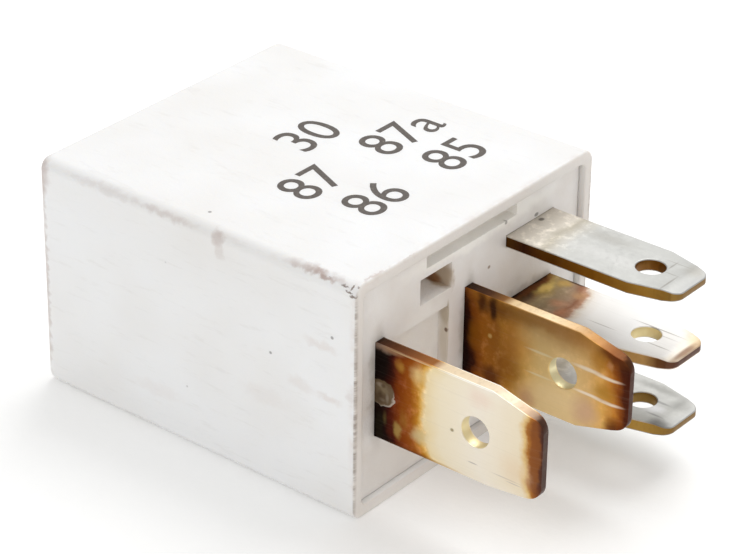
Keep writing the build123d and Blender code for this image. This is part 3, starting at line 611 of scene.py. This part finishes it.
# Tin-plated brass, rolled, then stamped: satin, with a fine grain along the blade
# and brass showing on its edges. It is drawn coarser than it is, to show at all.
def tinned_brass(
    name, upright, mid, tints, reach, marks, sheared, hole, hole_tint, dull, mottled=0.0, shine=0.6
):
    """Tin plate on brass with heat tints along the blade and bare sheared edges.

    Tints and sheared are colours by x, along the blade, and reach shifts the tints by the place
    across. A mark is a colour, its middle, its two half sizes, its softness and its strength."""
    surface, tree, place = new_surface(name)
    axes = add(tree, "SeparateXYZ", {0: place}).node.outputs
    thick = add(tree, "Math", {0: axes[1 if upright else 2], 1: mid}, operation="SUBTRACT")
    across = axes[2] if upright else add(tree, "Math", {0: axes[1], 1: row_y}, operation="SUBTRACT")
    flat = add(tree, "CombineXYZ", {0: axes[0], 1: across, 2: 0})
    cloud = add(tree, "TexNoise", {"Vector": flat, "Scale": 0.9, "Detail": 5, "Roughness": 0.55})
    fine = add(tree, "TexNoise", {"Vector": flat, "Scale": 3.2, "Detail": 1.5})
    drawn_out = add(tree, "VectorMath", {0: flat, 1: (0.12, 7.0, 1.0)}, operation="MULTIPLY")
    rolled = add(tree, "TexNoise", {"Vector": drawn_out, "Scale": 1.0, "Detail": 3, "Roughness": 0.6})

    # Heat tints on a ramp along the blade, shifted across it
    share = add(tree, "MapRange", {"Value": across, "From Min": -half_wide, "From Max": half_wide})
    curve = [((p + half_wide) / (2 * half_wide), (s + most_shift) / (2 * most_shift)) for p, s in reach]
    shift = add(tree, "FloatCurve", {1: share}, curve=curve)
    shift = add(tree, "MapRange", {"Value": shift, "To Min": -most_shift, "To Max": most_shift})
    wobble = {"Value": cloud, "From Min": 0.3, "From Max": 0.7, "To Min": -0.18, "To Max": 0.18}
    heat = add(tree, "Math", {0: axes[0], 1: shift}, operation="SUBTRACT")
    heat = add(tree, "Math", {0: heat, 1: add(tree, "MapRange", wobble)}, operation="ADD")
    ramp = {"From Min": ramp_start, "From Max": ramp_start + ramp_length}
    heat = add(tree, "MapRange", {"Value": heat, **ramp})
    stops = [((p - ramp_start) / ramp_length, code) for p, code in tints]
    shade = add(tree, "ValToRGB", {0: heat}, stops=stops)

    # Paler clouds where the blade was hottest, then the single marks
    hot = {"Value": heat, "From Min": 0.3, "From Max": 0.34, "To Min": 1, "To Max": mottled}
    hot = add(tree, "MapRange", {"Value": add(tree, "MapRange", hot), "To Max": 0.55})
    stain = add(tree, "TexNoise", {"Vector": flat, "Scale": 1.3, "Detail": 6, "Roughness": 0.65})
    stain = add(tree, "MapRange", {"Value": stain, "From Min": 0.5, "From Max": 0.68})
    stain = add(tree, "Math", {0: hot, 1: stain}, operation="MULTIPLY")
    paler = add(tree, "HueSaturation", {"Color": shade, "Value": 1.7, "Saturation": 0.9})
    shade = add(tree, "Mix", {0: stain, 6: shade, 7: paler}, out=2, data_type="RGBA")
    ragged = jitter(tree, flat, 1.7, 4, (0.55, 0.55, 0))
    for code, x, y, half_x, half_y, soft, strength in marks:
        where = ragged if min(half_x, half_y) > blade_ragged_from else flat
        shade = dab(tree, shade, code, where, (x, y, 0), (half_x, half_y, 1), soft, strength)

    # Inside the cap the tin is plain; rolling lines run along all of it
    indoors = {"Value": axes[0], "From Min": -1.5, "From Max": -6.0}
    indoors = add(tree, "MapRange", indoors, interpolation_type="SMOOTHSTEP")
    shade = add(tree, "Mix", {0: indoors, 6: shade, 7: indoor_tin}, out=2, data_type="RGBA")
    lines = add(tree, "MapRange", {"Value": rolled, "From Min": 0.55, "From Max": 0.75, "To Max": 0.1})
    shade = add(tree, "Mix", {0: lines, 6: shade, 7: roller_grey}, out=2, data_type="RGBA")

    # Bare brass on the sheared edges and in the hole, but not under the rounded or coined rim
    bare = add(tree, "MapRange", {"Value": axes[0], **ramp})
    stops = [((p - ramp_start) / ramp_length, code) for p, code in sheared]
    bare = add(tree, "ValToRGB", {0: bare}, stops=stops)
    torn = add(tree, "VectorMath", {0: place, 1: (5.0, 3.0, 3.0)}, operation="MULTIPLY")
    torn = add(tree, "TexNoise", {"Vector": torn, "Scale": 1.0, "Detail": 4})
    torn = add(tree, "MapRange", {"Value": torn, "From Min": 0.5, "From Max": 0.75, "To Max": 0.22})
    bare = add(tree, "Mix", {0: torn, 6: bare, 7: torn_brown}, out=2, data_type="RGBA")
    hole_x, hole_radius = hole
    bare = dab(tree, bare, hole_tint, flat, (hole_x, 0, 0), (hole_radius + 0.1, hole_radius + 0.1, 1), 0.06)
    depth = add(tree, "Math", {0: thick}, operation="ABSOLUTE")
    coined = {"Value": axes[0], "From Min": coin_start, "From Max": blade_reach, "To Max": coin_depth}
    coined = add(tree, "Math", {0: depth, 1: add(tree, "MapRange", coined)}, operation="ADD")
    bands = []
    for level in (depth, coined):
        band = {"Value": level, "From Min": half_sheet - 0.05, "From Max": half_sheet - 0.09}
        bands.append(add(tree, "MapRange", band, interpolation_type="SMOOTHSTEP"))
    cut = add(tree, "Math", {0: bands[0], 1: bands[1]}, operation="MULTIPLY")
    outdoors = add(tree, "MapRange", {"Value": indoors, "To Min": 1, "To Max": 0})
    cut = add(tree, "Math", {0: cut, 1: outdoors}, operation="MULTIPLY")
    shade = add(tree, "Mix", {0: cut, 6: shade, 7: bare}, out=2, data_type="RGBA")

    # Oxide roughens the burnt part; beyond it the aged tin is less of a mirror
    burnt = {"Value": heat, "From Min": 0, "From Max": 0.35, "To Min": 0.2, "To Max": 0}
    burnt = add(tree, "Mix", {0: indoors, 2: add(tree, "MapRange", burnt), 3: 0.0})
    gloss = {"Value": fine, "From Min": 0.3, "From Max": 0.7, "To Min": dull - 0.06, "To Max": dull + 0.08}
    gloss = add(tree, "Math", {0: add(tree, "MapRange", gloss), 1: burnt}, operation="ADD")
    metal = {"Value": heat, "From Min": 0.28, "From Max": 0.33, "To Min": 0.9, "To Max": shine}
    skin = add(tree, "Math", {0: cloud, 1: rolled}, operation="ADD")
    finish_surface(tree, shade, gloss, skin, 0.003, metallic=add(tree, "MapRange", metal))
    return surface


# Terminal 30, burnt from the root to a gold fringe 3 mm out and at its tip, with painted highlights along
# its top edge
burnt_blade = tinned_brass(
    "burnt_tinned_brass",
    upright=True,
    mid=terminal_30_y,
    tints=[
        (-0.5, "#160400"), (0.25, "#220600"), (0.6, "#4A0E00"), (1.0, "#742E00"), (1.5, "#8A4000"),
        (2.2, "#9C540C"), (2.7, "#BC7E22"), (2.95, "#DDAE58"), (3.3, "#EBD6A8"), (4.3, "#EFE2C6"),
        (7.0, "#F1E8D8"), (9.9, "#EBDDC2"), (10.25, "#DDBB7C"), (10.5, "#A86A22"), (10.75, "#84480F"),
        (11.1, "#5A2A0C"), (11.5, "#3A1806"),
    ],
    reach=[(-3.15, 1.0), (-2.6, 0.35), (-1.8, 0.1), (0.0, 0.0), (1.6, 0.0), (2.6, 0.2), (3.15, 0.9)],
    marks=[
        ("#A58A78", 0.1, 3.0, 0.8, 0.25, 0.6, 0.85),
        ("#B88A62", 0.9, 3.05, 0.7, 0.2, 0.6, 0.6),
        ("#100300", 0.1, 1.9, 0.8, 0.85, 0.5, 0.95),
        ("#340800", 0.75, 1.5, 0.3, 1.0, 0.8, 0.6),
        ("#E6DED2", 0.2, -0.12, 0.88, 0.74, 0.04, 0.75),
        ("#7A664C", 0.1, 0.02, 0.92, 0.84, 0.08, 0.95),
        ("#9A8A6E", 0.2, 0.25, 0.3, 0.3, 0.8, 0.7),
        ("#B8AA96", 0.5, -0.25, 0.1, 0.25, 0.8, 0.7),
        ("#B8AA96", -0.05, 0.5, 0.2, 0.12, 0.8, 0.7),
        ("#5A4630", 0.2, 0.5, 0.16, 0.12, 0.8, 0.7),
        ("#5A4630", 0.0, -0.05, 0.14, 0.2, 0.8, 0.6),
        ("#B0A28C", 0.15, -0.45, 0.2, 0.1, 0.8, 0.6),
        ("#4A3420", -0.1, -0.35, 0.6, 0.3, 0.8, 0.5),
        ("#B07C30", 1.39, 2.28, 0.26, 0.34, 0.8, 0.9),
        ("#B0904E", 1.26, -2.07, 0.3, 0.5, 0.5, 0.9),
        ("#B4883C", 1.75, -1.2, 0.25, 0.5, 0.9, 0.35),
        ("#DDBE82", 2.7, 2.15, 0.4, 0.5, 0.9, 0.85),
        # Painted highlights along the top edge
        ("#E8CFA0", 2.6, 3.09, 1.9, 0.05, 0.6, 0.6),
        ("#FFFAF0", 6.6, 3.1, 2.2, 0.06, 0.6, 0.9),
        ("#D2BE8E", 2.85, -1.8, 0.45, 0.45, 0.8, 0.8),
        ("#1E1606", -0.05, -2.2, 0.3, 0.9, 0.4, 0.9),
        ("#7A6838", 0.35, -1.6, 0.12, 0.35, 0.9, 0.5),
        ("#5A1C04", 0.75, -1.9, 0.25, 0.8, 0.6, 0.7),
        ("#8A7A50", 5.21, -0.48, 0.12, 0.1, 0.5, 0.85),
        ("#A89E98", 6.72, -2.08, 0.3, 0.04, 0.5, 0.7),
        ("#B0A69C", 9.1, -2.15, 0.9, 0.04, 0.5, 0.5),
        ("#A8A4A4", 9.6, -2.3, 0.5, 0.035, 0.5, 0.6),
        ("#E8C8B4", 7.1, 2.3, 0.7, 0.5, 0.9, 0.4),
        ("#E4CBAA", 9.7, -1.4, 0.9, 0.8, 0.9, 0.5),
        ("#84480F", 10.95, 0.0, 0.32, 2.1, 0.3, 0.85),
        ("#7A4410", 2.6, -3.15, 1.7, 0.16, 0.6, 0.85),
        ("#C9A05A", 4.6, -3.12, 1.2, 0.1, 0.8, 0.6),
    ],
    sheared=[
        (-0.5, "#3A2010"), (1.5, "#6A3A16"), (3.6, "#8A5626"), (4.3, "#D6C2A2"), (9.0, "#DCCAB0"),
        (10.2, "#B09478"), (11.0, "#4A2A18"), (11.5, "#3A1C0C"),
    ],
    hole=wide_hole,
    hole_tint="#E8D8A8",
    dull=0.37,
)

# Terminal 87, bronze all over and burnt again at its tip
tinted_blade = tinned_brass(
    "bronzed_tinned_brass",
    upright=True,
    mid=terminal_87_y,
    tints=[
        (-0.5, "#200500"), (0.0, "#3E1400"), (0.35, "#86480A"), (0.9, "#A8681A"), (2.0, "#A06822"),
        (2.8, "#BE8832"), (3.8, "#DEB05C"), (5.0, "#E4C686"), (7.0, "#E8CC94"), (8.6, "#E0B878"),
        (9.5, "#E0AC5A"), (10.1, "#C27E2E"), (10.6, "#8C4A12"), (10.95, "#4E1E04"), (11.5, "#3A1002"),
    ],
    reach=[(-3.15, -0.5), (-2.0, 0.3), (0.0, 0.1), (1.5, 0.0), (2.5, -0.3), (3.15, -0.6)],
    marks=[
        ("#A87434", 6.2, 3.3, 5.2, 1.4, 0.6, 0.75),
        ("#E2C692", 6.6, -2.7, 2.4, 1.1, 0.7, 0.8),
        ("#9A5E08", 0.45, 0.25, 0.45, 0.9, 0.7, 0.8),
        ("#5E360E", 2.4, 2.5, 1.7, 0.5, 0.9, 0.6),
        ("#2C0A00", 1.7, 2.45, 0.3, 0.7, 0.6, 0.85),
        ("#3A1400", 0.9, 2.6, 0.3, 0.6, 0.8, 0.8),
        ("#6E4210", 3.2, -1.0, 0.8, 1.0, 0.9, 0.4),
        ("#D8B670", 1.53, 0.55, 0.14, 0.14, 0.5, 0.8),
        ("#5E2E0E", 1.64, -2.1, 0.65, 0.6, 0.7, 0.85),
        ("#CC9248", 3.5, 1.0, 0.9, 1.3, 0.8, 0.6),
        ("#C09070", 4.3, -2.6, 0.6, 0.6, 0.8, 0.7),
        ("#CCA286", 8.4, -1.9, 0.8, 0.8, 0.8, 0.8),
        ("#F2E4BC", 5.2, 0.77, 0.85, 0.08, 0.6, 0.85),
        ("#EEDEB6", 5.2, -0.78, 0.8, 0.07, 0.6, 0.8),
        ("#F6E8D4", 8.6, 0.95, 0.95, 0.12, 0.6, 0.9),
        ("#F6E8D4", 10.0, 0.84, 0.8, 0.1, 0.6, 0.9),
        ("#F6E8D6", 8.7, -0.7, 0.95, 0.09, 0.6, 0.9),
        ("#F6E8D6", 10.0, -0.78, 0.85, 0.1, 0.6, 0.9),
        ("#C08A58", 10.15, 1.78, 0.25, 0.25, 0.6, 0.9),
        ("#B4822C", 9.8, -0.2, 0.6, 0.5, 0.8, 0.8),
        ("#A8701C", 9.3, 1.7, 0.5, 0.6, 0.6, 0.6),
        ("#4A1A04", 10.5, -2.5, 0.5, 0.7, 0.7, 0.8),
        ("#5A2406", 10.3, 2.5, 0.9, 0.5, 0.7, 0.8),
        ("#EBD09E", 6.2, -1.7, 1.6, 0.8, 0.9, 0.7),
        ("#E6CC92", 5.2, 1.6, 1.2, 0.6, 0.9, 0.5),
        ("#9A5A18", 3.0, -0.4, 0.5, 1.8, 0.9, 0.4),
    ],
    sheared=[
        (-0.5, "#2A0E00"), (1.2, "#4E2A0C"), (2.3, "#8A5C2C"), (2.9, "#E2C69A"), (5.5, "#F0DAB4"),
        (7.2, "#E2C296"), (8.6, "#B88A56"), (10.0, "#7A4A22"), (11.5, "#3A1606"),
    ],
    hole=wide_hole,
    hole_tint="#EADFB4",
    dull=0.36,
    mottled=0.35,
    shine=0.85,
)

# Terminal 87a, browned at the root and bright beyond
middle_blade = tinned_brass(
    "browned_tinned_brass",
    upright=False,
    mid=0.0,
    tints=[
        (-0.5, "#1E0A00"), (-0.1, "#4A2606"), (0.15, "#8A6224"), (0.5, "#B49A5C"), (1.2, "#A08C6C"),
        (2.0, "#A88E74"), (2.6, "#96664A"), (2.95, "#B48A6E"), (3.25, "#E6DACB"), (3.6, "#F4EFE8"),
        (4.2, "#F8F6F2"), (7.0, "#FBFAF8"), (10.0, "#FAF7F2"), (10.8, "#EEE0C8"), (11.5, "#B98E56"),
    ],
    reach=[(-3.15, 0.1), (-2.4, 0.3), (-1.0, 0.5), (0.4, 0.3), (1.4, 0.0), (2.4, -0.6), (3.15, -0.8)],
    marks=[
        ("#E4C874", 0.42, 0.6, 0.35, 0.8, 0.7, 0.85),
        ("#CCAA5E", 1.05, 1.9, 0.4, 0.4, 0.7, 0.8),
        ("#3A1800", 1.6, 2.36, 0.7, 0.14, 0.6, 0.9),
        ("#7A4416", -0.1, -0.2, 0.25, 2.4, 0.6, 0.8),
        ("#C88C66", 2.9, -1.3, 0.35, 0.5, 0.9, 0.7),
        ("#C88C66", 2.2, -0.4, 0.5, 0.4, 0.9, 0.6),
        ("#C9A070", 2.6, 1.2, 0.4, 0.4, 0.9, 0.6),
        ("#7A4A1C", 11.2, 0.0, 0.2, 1.6, 0.6, 0.8),
        ("#6E5026", 0.25, -1.6, 0.35, 0.8, 0.8, 0.7),
        ("#A09484", 1.0, -1.2, 0.5, 0.9, 0.9, 0.5),
        ("#B4AFA8", 8.7, 0.95, 1.6, 0.06, 0.5, 0.8),
        ("#B8B2AA", 9.7, -0.78, 0.75, 0.05, 0.5, 0.8),
        ("#C4BEB6", 9.4, 0.4, 0.8, 0.05, 0.5, 0.6),
        ("#C8C4BE", 5.7, -0.85, 0.9, 0.05, 0.5, 0.7),
        ("#D6BC92", 9.6, -2.38, 1.1, 0.1, 0.6, 0.7),
        ("#E2CCA4", 11.0, 1.4, 0.4, 0.7, 0.8, 0.6),
    ],
    sheared=[
        (-0.5, "#2A1000"), (3.0, "#5A3A12"), (6.0, "#A88450"), (9.5, "#C8A468"), (10.4, "#6A4010"),
        (11.5, "#4A2004"),
    ],
    hole=narrow_hole,
    hole_tint="#EAD9A4",
    dull=0.37,
    shine=0.4,
)

# Terminals 86 and 85 carry only the coil's current: dull tin, with brass edges
coil_tints = [
    (-0.5, "#CCC5BA"), (1.4, "#D0CABF"), (1.9, "#B4AEA0"), (2.5, "#C4C1B9"), (3.2, "#C8C8C4"),
    (8.0, "#C4C4C0"), (10.4, "#B8B8B4"), (11.5, "#A8A8A6"),
]
coil_edge = [
    (-0.5, "#5E3A08"), (0.9, "#3E1804"), (2.2, "#6E4206"), (6.0, "#94640E"), (9.5, "#B08A3C"),
    (10.6, "#9C7830"), (11.5, "#7A5A24"),
]
terminal_86_metal = tinned_brass(
    "dull_tinned_brass_86",
    upright=False,
    mid=row_spacing,
    tints=coil_tints,
    reach=[(-3.15, 0.5), (-1.5, 0.2), (0.0, 0.0), (1.5, 0.1), (3.15, 0.2)],
    marks=[
        ("#5E574E", -0.05, 0.65, 0.16, 0.2, 0.4, 0.85),
        ("#8E8A80", 9.3, 0.9, 0.05, 0.5, 0.5, 0.6),
        ("#8E8A82", 10.25, -1.0, 0.06, 0.9, 0.5, 0.7),
        ("#918D85", 9.8, 0.0, 0.5, 0.04, 0.5, 0.6),
        ("#9A968E", 9.5, 1.3, 0.9, 0.04, 0.5, 0.5),
        ("#DAD9D6", 6.0, -0.6, 2.6, 0.5, 0.9, 0.5),
        ("#9C988E", 4.4, 1.3, 1.6, 0.5, 0.9, 0.4),
        ("#A39F96", 10.6, 1.2, 0.5, 0.6, 0.8, 0.6),
    ],
    sheared=coil_edge,
    hole=narrow_hole,
    hole_tint="#7E5210",
    dull=0.37,
    mottled=0.2,
)
terminal_85_metal = tinned_brass(
    "dull_tinned_brass_85",
    upright=False,
    mid=-row_spacing,
    tints=coil_tints,
    reach=[(-3.15, 0.2), (-1.5, 0.0), (0.0, 0.3), (1.5, 0.1), (3.15, 0.0)],
    marks=[
        ("#706F6C", 10.7, -1.7, 0.6, 0.5, 0.7, 0.85),
        ("#8A8987", 9.5, 0.4, 0.6, 0.1, 0.6, 0.7),
        ("#868584", 9.95, -1.0, 0.5, 0.08, 0.6, 0.7),
        ("#E4E4E6", 9.3, -0.4, 0.7, 0.4, 0.8, 0.8),
        ("#868580", 10.6, 0.9, 0.5, 0.7, 0.8, 0.6),
        ("#8E8D88", 8.4, 1.7, 1.4, 0.3, 0.8, 0.6),
    ],
    sheared=coil_edge,
    hole=narrow_hole,
    hole_tint="#8A6A2C",
    dull=0.37,
    mottled=0.25,
)
for node, surface, slot in (
    ("terminal_30", burnt_blade, "burnt_blade"),
    ("terminal_87", tinted_blade, "tinted_blade"),
    ("terminal_87a", middle_blade, "middle_blade"),
    ("terminal_86", terminal_86_metal, "coil_blades"),
    ("terminal_85", terminal_85_metal, "coil_blades"),
):
    dress(node, node + "_stamping", blade_round, surface, "housing", slot)


# Yoke and armature
# Both are stamped from soft magnet iron and zinc plated: bright and slightly
# blue, with a faint yellow bloom, and matt where the press sheared them.
plate_round = 0.09

zinc_plate, tree, place = new_surface("zinc_plated_iron")
cloud = add(tree, "TexNoise", {"Vector": place, "Scale": 0.6, "Detail": 5})
spangle = add(tree, "TexVoronoi", {"Vector": place, "Scale": 2.2}, "Color")
drawn_out = add(tree, "VectorMath", {0: place, 1: (1.0, 6.0, 6.0)}, operation="MULTIPLY")
fine = add(tree, "TexNoise", {"Vector": drawn_out, "Scale": 1.6, "Detail": 5})
shade = add(tree, "ValToRGB", {0: cloud}, stops=[(0.3, "#B9BDC1"), (0.55, "#C6C6C2"), (0.75, "#CDC7B2")])
tone = add(tree, "SeparateColor", {0: spangle})
tone = add(tree, "MapRange", {"Value": tone, "To Max": 0.18})
shade = add(tree, "Mix", {0: tone, 6: shade, 7: "#9DA0A3"}, out=2, data_type="RGBA")
gloss = {"Value": fine, "From Min": 0.3, "From Max": 0.7, "To Min": 0.28, "To Max": 0.48}
gloss = add(tree, "MapRange", gloss)
finish_surface(tree, shade, gloss, fine, 0.008, metallic=0.95)
for node, body in (("yoke", "housing"), ("armature", "armature")):
    dress(node, node + "_plate", plate_round, zinc_plate, body, "plated_steel")


# Rivets and core
# The rivets are headed from plated wire and closed in a press; the core is
# turned, so fine rings show on the pole face.
rivet_round = 0.05
core_y = -0.6
tool_feed = 0.16

turned_steel, tree, place = new_surface("plated_turned_steel")
from_axis = add(tree, "VectorMath", {0: place, 1: (0, core_y, 0)}, operation="SUBTRACT")
axes = add(tree, "SeparateXYZ", {0: from_axis}).node.outputs
radius = add(tree, "CombineXYZ", {1: axes[1], 2: axes[2]})
radius = add(tree, "VectorMath", {0: radius}, "Value", operation="LENGTH")
rings = add(tree, "Math", {0: radius, 1: 2 * pi / tool_feed}, operation="MULTIPLY")
rings = add(tree, "Math", {0: rings}, operation="SINE")
cloud = add(tree, "TexNoise", {"Vector": place, "Scale": 1.3, "Detail": 5})
shade = add(tree, "ValToRGB", {0: cloud}, stops=[(0.3, "#BFC1C3"), (0.7, "#D0CDC4")])
gloss = add(tree, "MapRange", {"Value": cloud, "To Min": 0.24, "To Max": 0.4})
skin = add(tree, "Math", {0: rings, 1: cloud}, operation="ADD")
finish_surface(tree, shade, gloss, skin, 0.004, metallic=0.95)
for node, body in (("yoke_rivets", "housing"), ("armature_rivets", "armature"), ("core", "housing")):
    dress(node, node + "_steel", rivet_round, turned_steel, body, "plated_steel")


# Contacts
# Composite rivets headed from silver alloy wire, bright satin, and domed on the
# face that switches. Use has greyed a small patch on each dome.
contact_round = 0.05
contacts_middle = (-21.3, 7.35, 0)

contact_silver, tree, place = new_surface("silver_alloy")
cloud = add(tree, "TexNoise", {"Vector": place, "Scale": 2.4, "Detail": 6, "Roughness": 0.65})
pits = add(tree, "TexVoronoi", {"Vector": place, "Scale": 6.0})
shade = add(tree, "ValToRGB", {0: cloud}, stops=[(0.3, "#C9C8C4"), (0.7, "#E2E0DA")])
shade = dab(tree, shade, "#77726C", place, contacts_middle, (6.0, 0.75, 0.75), 0.5, 0.75)
gloss = add(tree, "MapRange", {"Value": cloud, "To Min": 0.25, "To Max": 0.5})
skin = add(tree, "Math", {0: cloud, 1: pits}, operation="ADD")
finish_surface(tree, shade, gloss, skin, 0.012, metallic=0.95)
for node, body in (("no_contact", "housing"), ("nc_contact", "housing"), ("moving_contact", "armature")):
    dress(node, node + "_silver", contact_round, contact_silver, body, "contact_silver")


# Contact spring
# One leaf of rolled phosphor bronze, 0.25 mm thick, riveted on the yoke and on
# the armature. Its bend round the hinge flexes as the armature moves in the relay;
# here the leaf keeps one shape and hangs on no body.
leaf_round = 0.03

# Rolling leaves fine pale streaks along the strip, and handling a browner cloud
rolled_bronze, tree, place = new_surface("rolled_phosphor_bronze")
drawn_out = add(tree, "VectorMath", {0: place, 1: (0.4, 0.4, 8.0)}, operation="MULTIPLY")
rolled = add(tree, "TexNoise", {"Vector": drawn_out, "Scale": 1.0, "Detail": 6, "Roughness": 0.7})
cloud = add(tree, "TexNoise", {"Vector": place, "Scale": 0.5, "Detail": 4})
shade = add(tree, "ValToRGB", {0: cloud}, stops=[(0.3, "#C58F5C"), (0.55, "#B8824F"), (0.75, "#A06A44")])
streaks = add(tree, "MapRange", {"Value": rolled, "From Min": 0.5, "From Max": 0.75, "To Max": 0.3})
shade = add(tree, "Mix", {0: streaks, 6: shade, 7: "#E0B583"}, out=2, data_type="RGBA")
gloss = add(tree, "MapRange", {"Value": rolled, "To Min": 0.22, "To Max": 0.42})
finish_surface(tree, shade, gloss, rolled, 0.004, metallic=0.95)
leaf = dress("contact_spring", "contact_spring_leaf", leaf_round, rolled_bronze, "housing", "spring_bronze")
leaf.parent = None
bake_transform(leaf)


# Bobbin
# Moulded in black glass-filled nylon: satin, with a flow texture and pale
# glass showing faintly at the surface.
bobbin_round = 0.1
nylon_ior = 1.53

bobbin_nylon, tree, place = new_surface("glass_filled_nylon")
drawn_out = add(tree, "VectorMath", {0: place, 1: (0.6, 2.0, 2.0)}, operation="MULTIPLY")
flow = add(tree, "TexNoise", {"Vector": drawn_out, "Scale": 1.2, "Detail": 6, "Roughness": 0.7})
shade = add(tree, "ValToRGB", {0: flow}, stops=[(0.35, "#1B1B1D"), (0.7, "#2A2A2C")])
fibres = add(tree, "VectorMath", {0: place, 1: (2.0, 9.0, 9.0)}, operation="MULTIPLY")
fibres = add(tree, "TexVoronoi", {"Vector": fibres, "Scale": 1.0})
fibres = add(tree, "MapRange", {"Value": fibres, "From Min": 0.12, "From Max": 0.02, "To Max": 0.25})
shade = add(tree, "Mix", {0: fibres, 6: shade, 7: "#77777A"}, out=2, data_type="RGBA")
gloss = add(tree, "MapRange", {"Value": flow, "To Min": 0.4, "To Max": 0.62})
finish_surface(tree, shade, gloss, flow, 0.02, IOR=nylon_ior)
dress("bobbin", "bobbin_spool", bobbin_round, bobbin_nylon, "housing", "bobbin_plastic")


# Winding
# Several layers of 0.2 mm enamelled copper wire, wound edge to edge between
# the flanges: glossy red-brown, with the outer turns showing as ridges.
wire_diameter = 0.2
core_low, core_high = (1000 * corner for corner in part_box("core"))
coil_y = (core_low.y + core_high.y) / 2
winding_low, winding_high = (1000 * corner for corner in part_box("coil_winding"))
winding_radius = (winding_high.y - winding_low.y) / 2
barrel_radius = 3.3
winding_length = winding_high.x - winding_low.x
turn_count = round(winding_length / wire_diameter)
pitch = winding_length / turn_count
ridge_steps = 4
spin_steps = 72

enamelled_copper, tree, place = new_surface("enamelled_copper_wire")
cloud = add(tree, "TexNoise", {"Vector": place, "Scale": 0.8, "Detail": 4})
drawn_out = add(tree, "VectorMath", {0: place, 1: (6.0, 0.5, 0.5)}, operation="MULTIPLY")
streaks = add(tree, "TexNoise", {"Vector": drawn_out, "Scale": 1.0, "Detail": 3})
shade = add(tree, "ValToRGB", {0: streaks}, stops=[(0.3, "#8E3F1C"), (0.5, "#B0552A"), (0.7, "#C97440")])
darker = add(tree, "MapRange", {"Value": cloud, "From Min": 0.4, "From Max": 0.7, "To Max": 0.4})
shade = add(tree, "Mix", {0: darker, 6: shade, 7: "#6E2C14"}, out=2, data_type="RGBA")
finish_surface(tree, shade, 0.28, streaks, 0.004, metallic=0.9, Coat_Weight=0.4, Coat_Roughness=0.15)
bm = bmesh.new()
start = bm.verts.new((winding_low.x, coil_y, barrel_radius))
profile = [start]
for step in range(turn_count * ridge_steps + 1):
    turns = step / ridge_steps
    ridge_radius = winding_radius - pitch / 2 * (1 - abs(sin(pi * turns)))
    profile.append(bm.verts.new((winding_low.x + turns * pitch, coil_y, ridge_radius)))
profile.append(bm.verts.new((winding_high.x, coil_y, barrel_radius)))
chain = [bm.edges.new(pair) for pair in zip(profile, profile[1:])]
chain.append(bm.edges.new((profile[-1], start)))
bmesh.ops.spin(
    bm,
    geom=profile + chain,
    cent=(0, coil_y, 0),
    axis=(1, 0, 0),
    angle=2 * pi,
    steps=spin_steps,
    use_merge=True,
    use_duplicate=False,
)
bmesh.ops.remove_doubles(bm, verts=bm.verts, dist=0.0005)
bmesh.ops.recalc_face_normals(bm, faces=bm.faces)
make_piece("coil_winding_turns", bm, enamelled_copper, "housing", "coil_winding", slot="winding_copper")


# Coil leads
# The winding's two ends, wrapped on the posts of terminals 86 and 85, and the
# resistor's two wires of tinned copper, bright but uneven from the dipping.
wire_round = 0.04
wire_sharp_from = 40

tin_solder, tree, place = new_surface("tinned_copper_wire")
cloud = add(tree, "TexNoise", {"Vector": place, "Scale": 3.0, "Detail": 5})
shade = add(tree, "ValToRGB", {0: cloud}, stops=[(0.3, "#B9B9B8"), (0.7, "#DADAD8")])
gloss = add(tree, "MapRange", {"Value": cloud, "To Min": 0.2, "To Max": 0.42})
finish_surface(tree, shade, gloss, cloud, 0.01, metallic=0.95)
for node, surface, slot in (
    ("coil_lead_start", enamelled_copper, "winding_copper"),
    ("coil_lead_finish", enamelled_copper, "winding_copper"),
    ("resistor_lead_86", tin_solder, "tinned_wire"),
    ("resistor_lead_85", tin_solder, "tinned_wire"),
):
    dress(node, node + "_wire", wire_round, surface, "housing", slot, sharp_from=wire_sharp_from)


# Resistor
# Suppression resistor across the coil: a ceramic body with pressed caps,
# dipped in glossy blue-grey lacquer and banded with its value.
resistor_round = 0.12
half_band = 0.2

lacquer, tree, place = new_surface("resistor_lacquer")
cloud = add(tree, "TexNoise", {"Vector": place, "Scale": 1.5, "Detail": 4})
height = add(tree, "SeparateXYZ", {0: place}).node.outputs[2]
shade = add(tree, "ValToRGB", {0: cloud}, stops=[(0.3, "#5C7680"), (0.7, "#6B8690")])
for code, centre in (("#6A4A2A", -1.35), ("#2A5A9A", -0.55), ("#6A4A2A", 0.25), ("#B8943C", 1.35)):
    off = add(tree, "Math", {0: height, 1: centre}, operation="SUBTRACT")
    off = add(tree, "Math", {0: off}, operation="ABSOLUTE")
    band = add(tree, "MapRange", {"Value": off, "From Min": half_band + 0.02, "From Max": half_band - 0.02})
    shade = add(tree, "Mix", {0: band, 6: shade, 7: code}, out=2, data_type="RGBA")
finish_surface(tree, shade, 0.3, cloud, 0.02, IOR=1.5, Coat_Weight=0.3)
dress("resistor", "resistor_body", resistor_round, lacquer, "housing", "resistor_lacquer", segments=3)
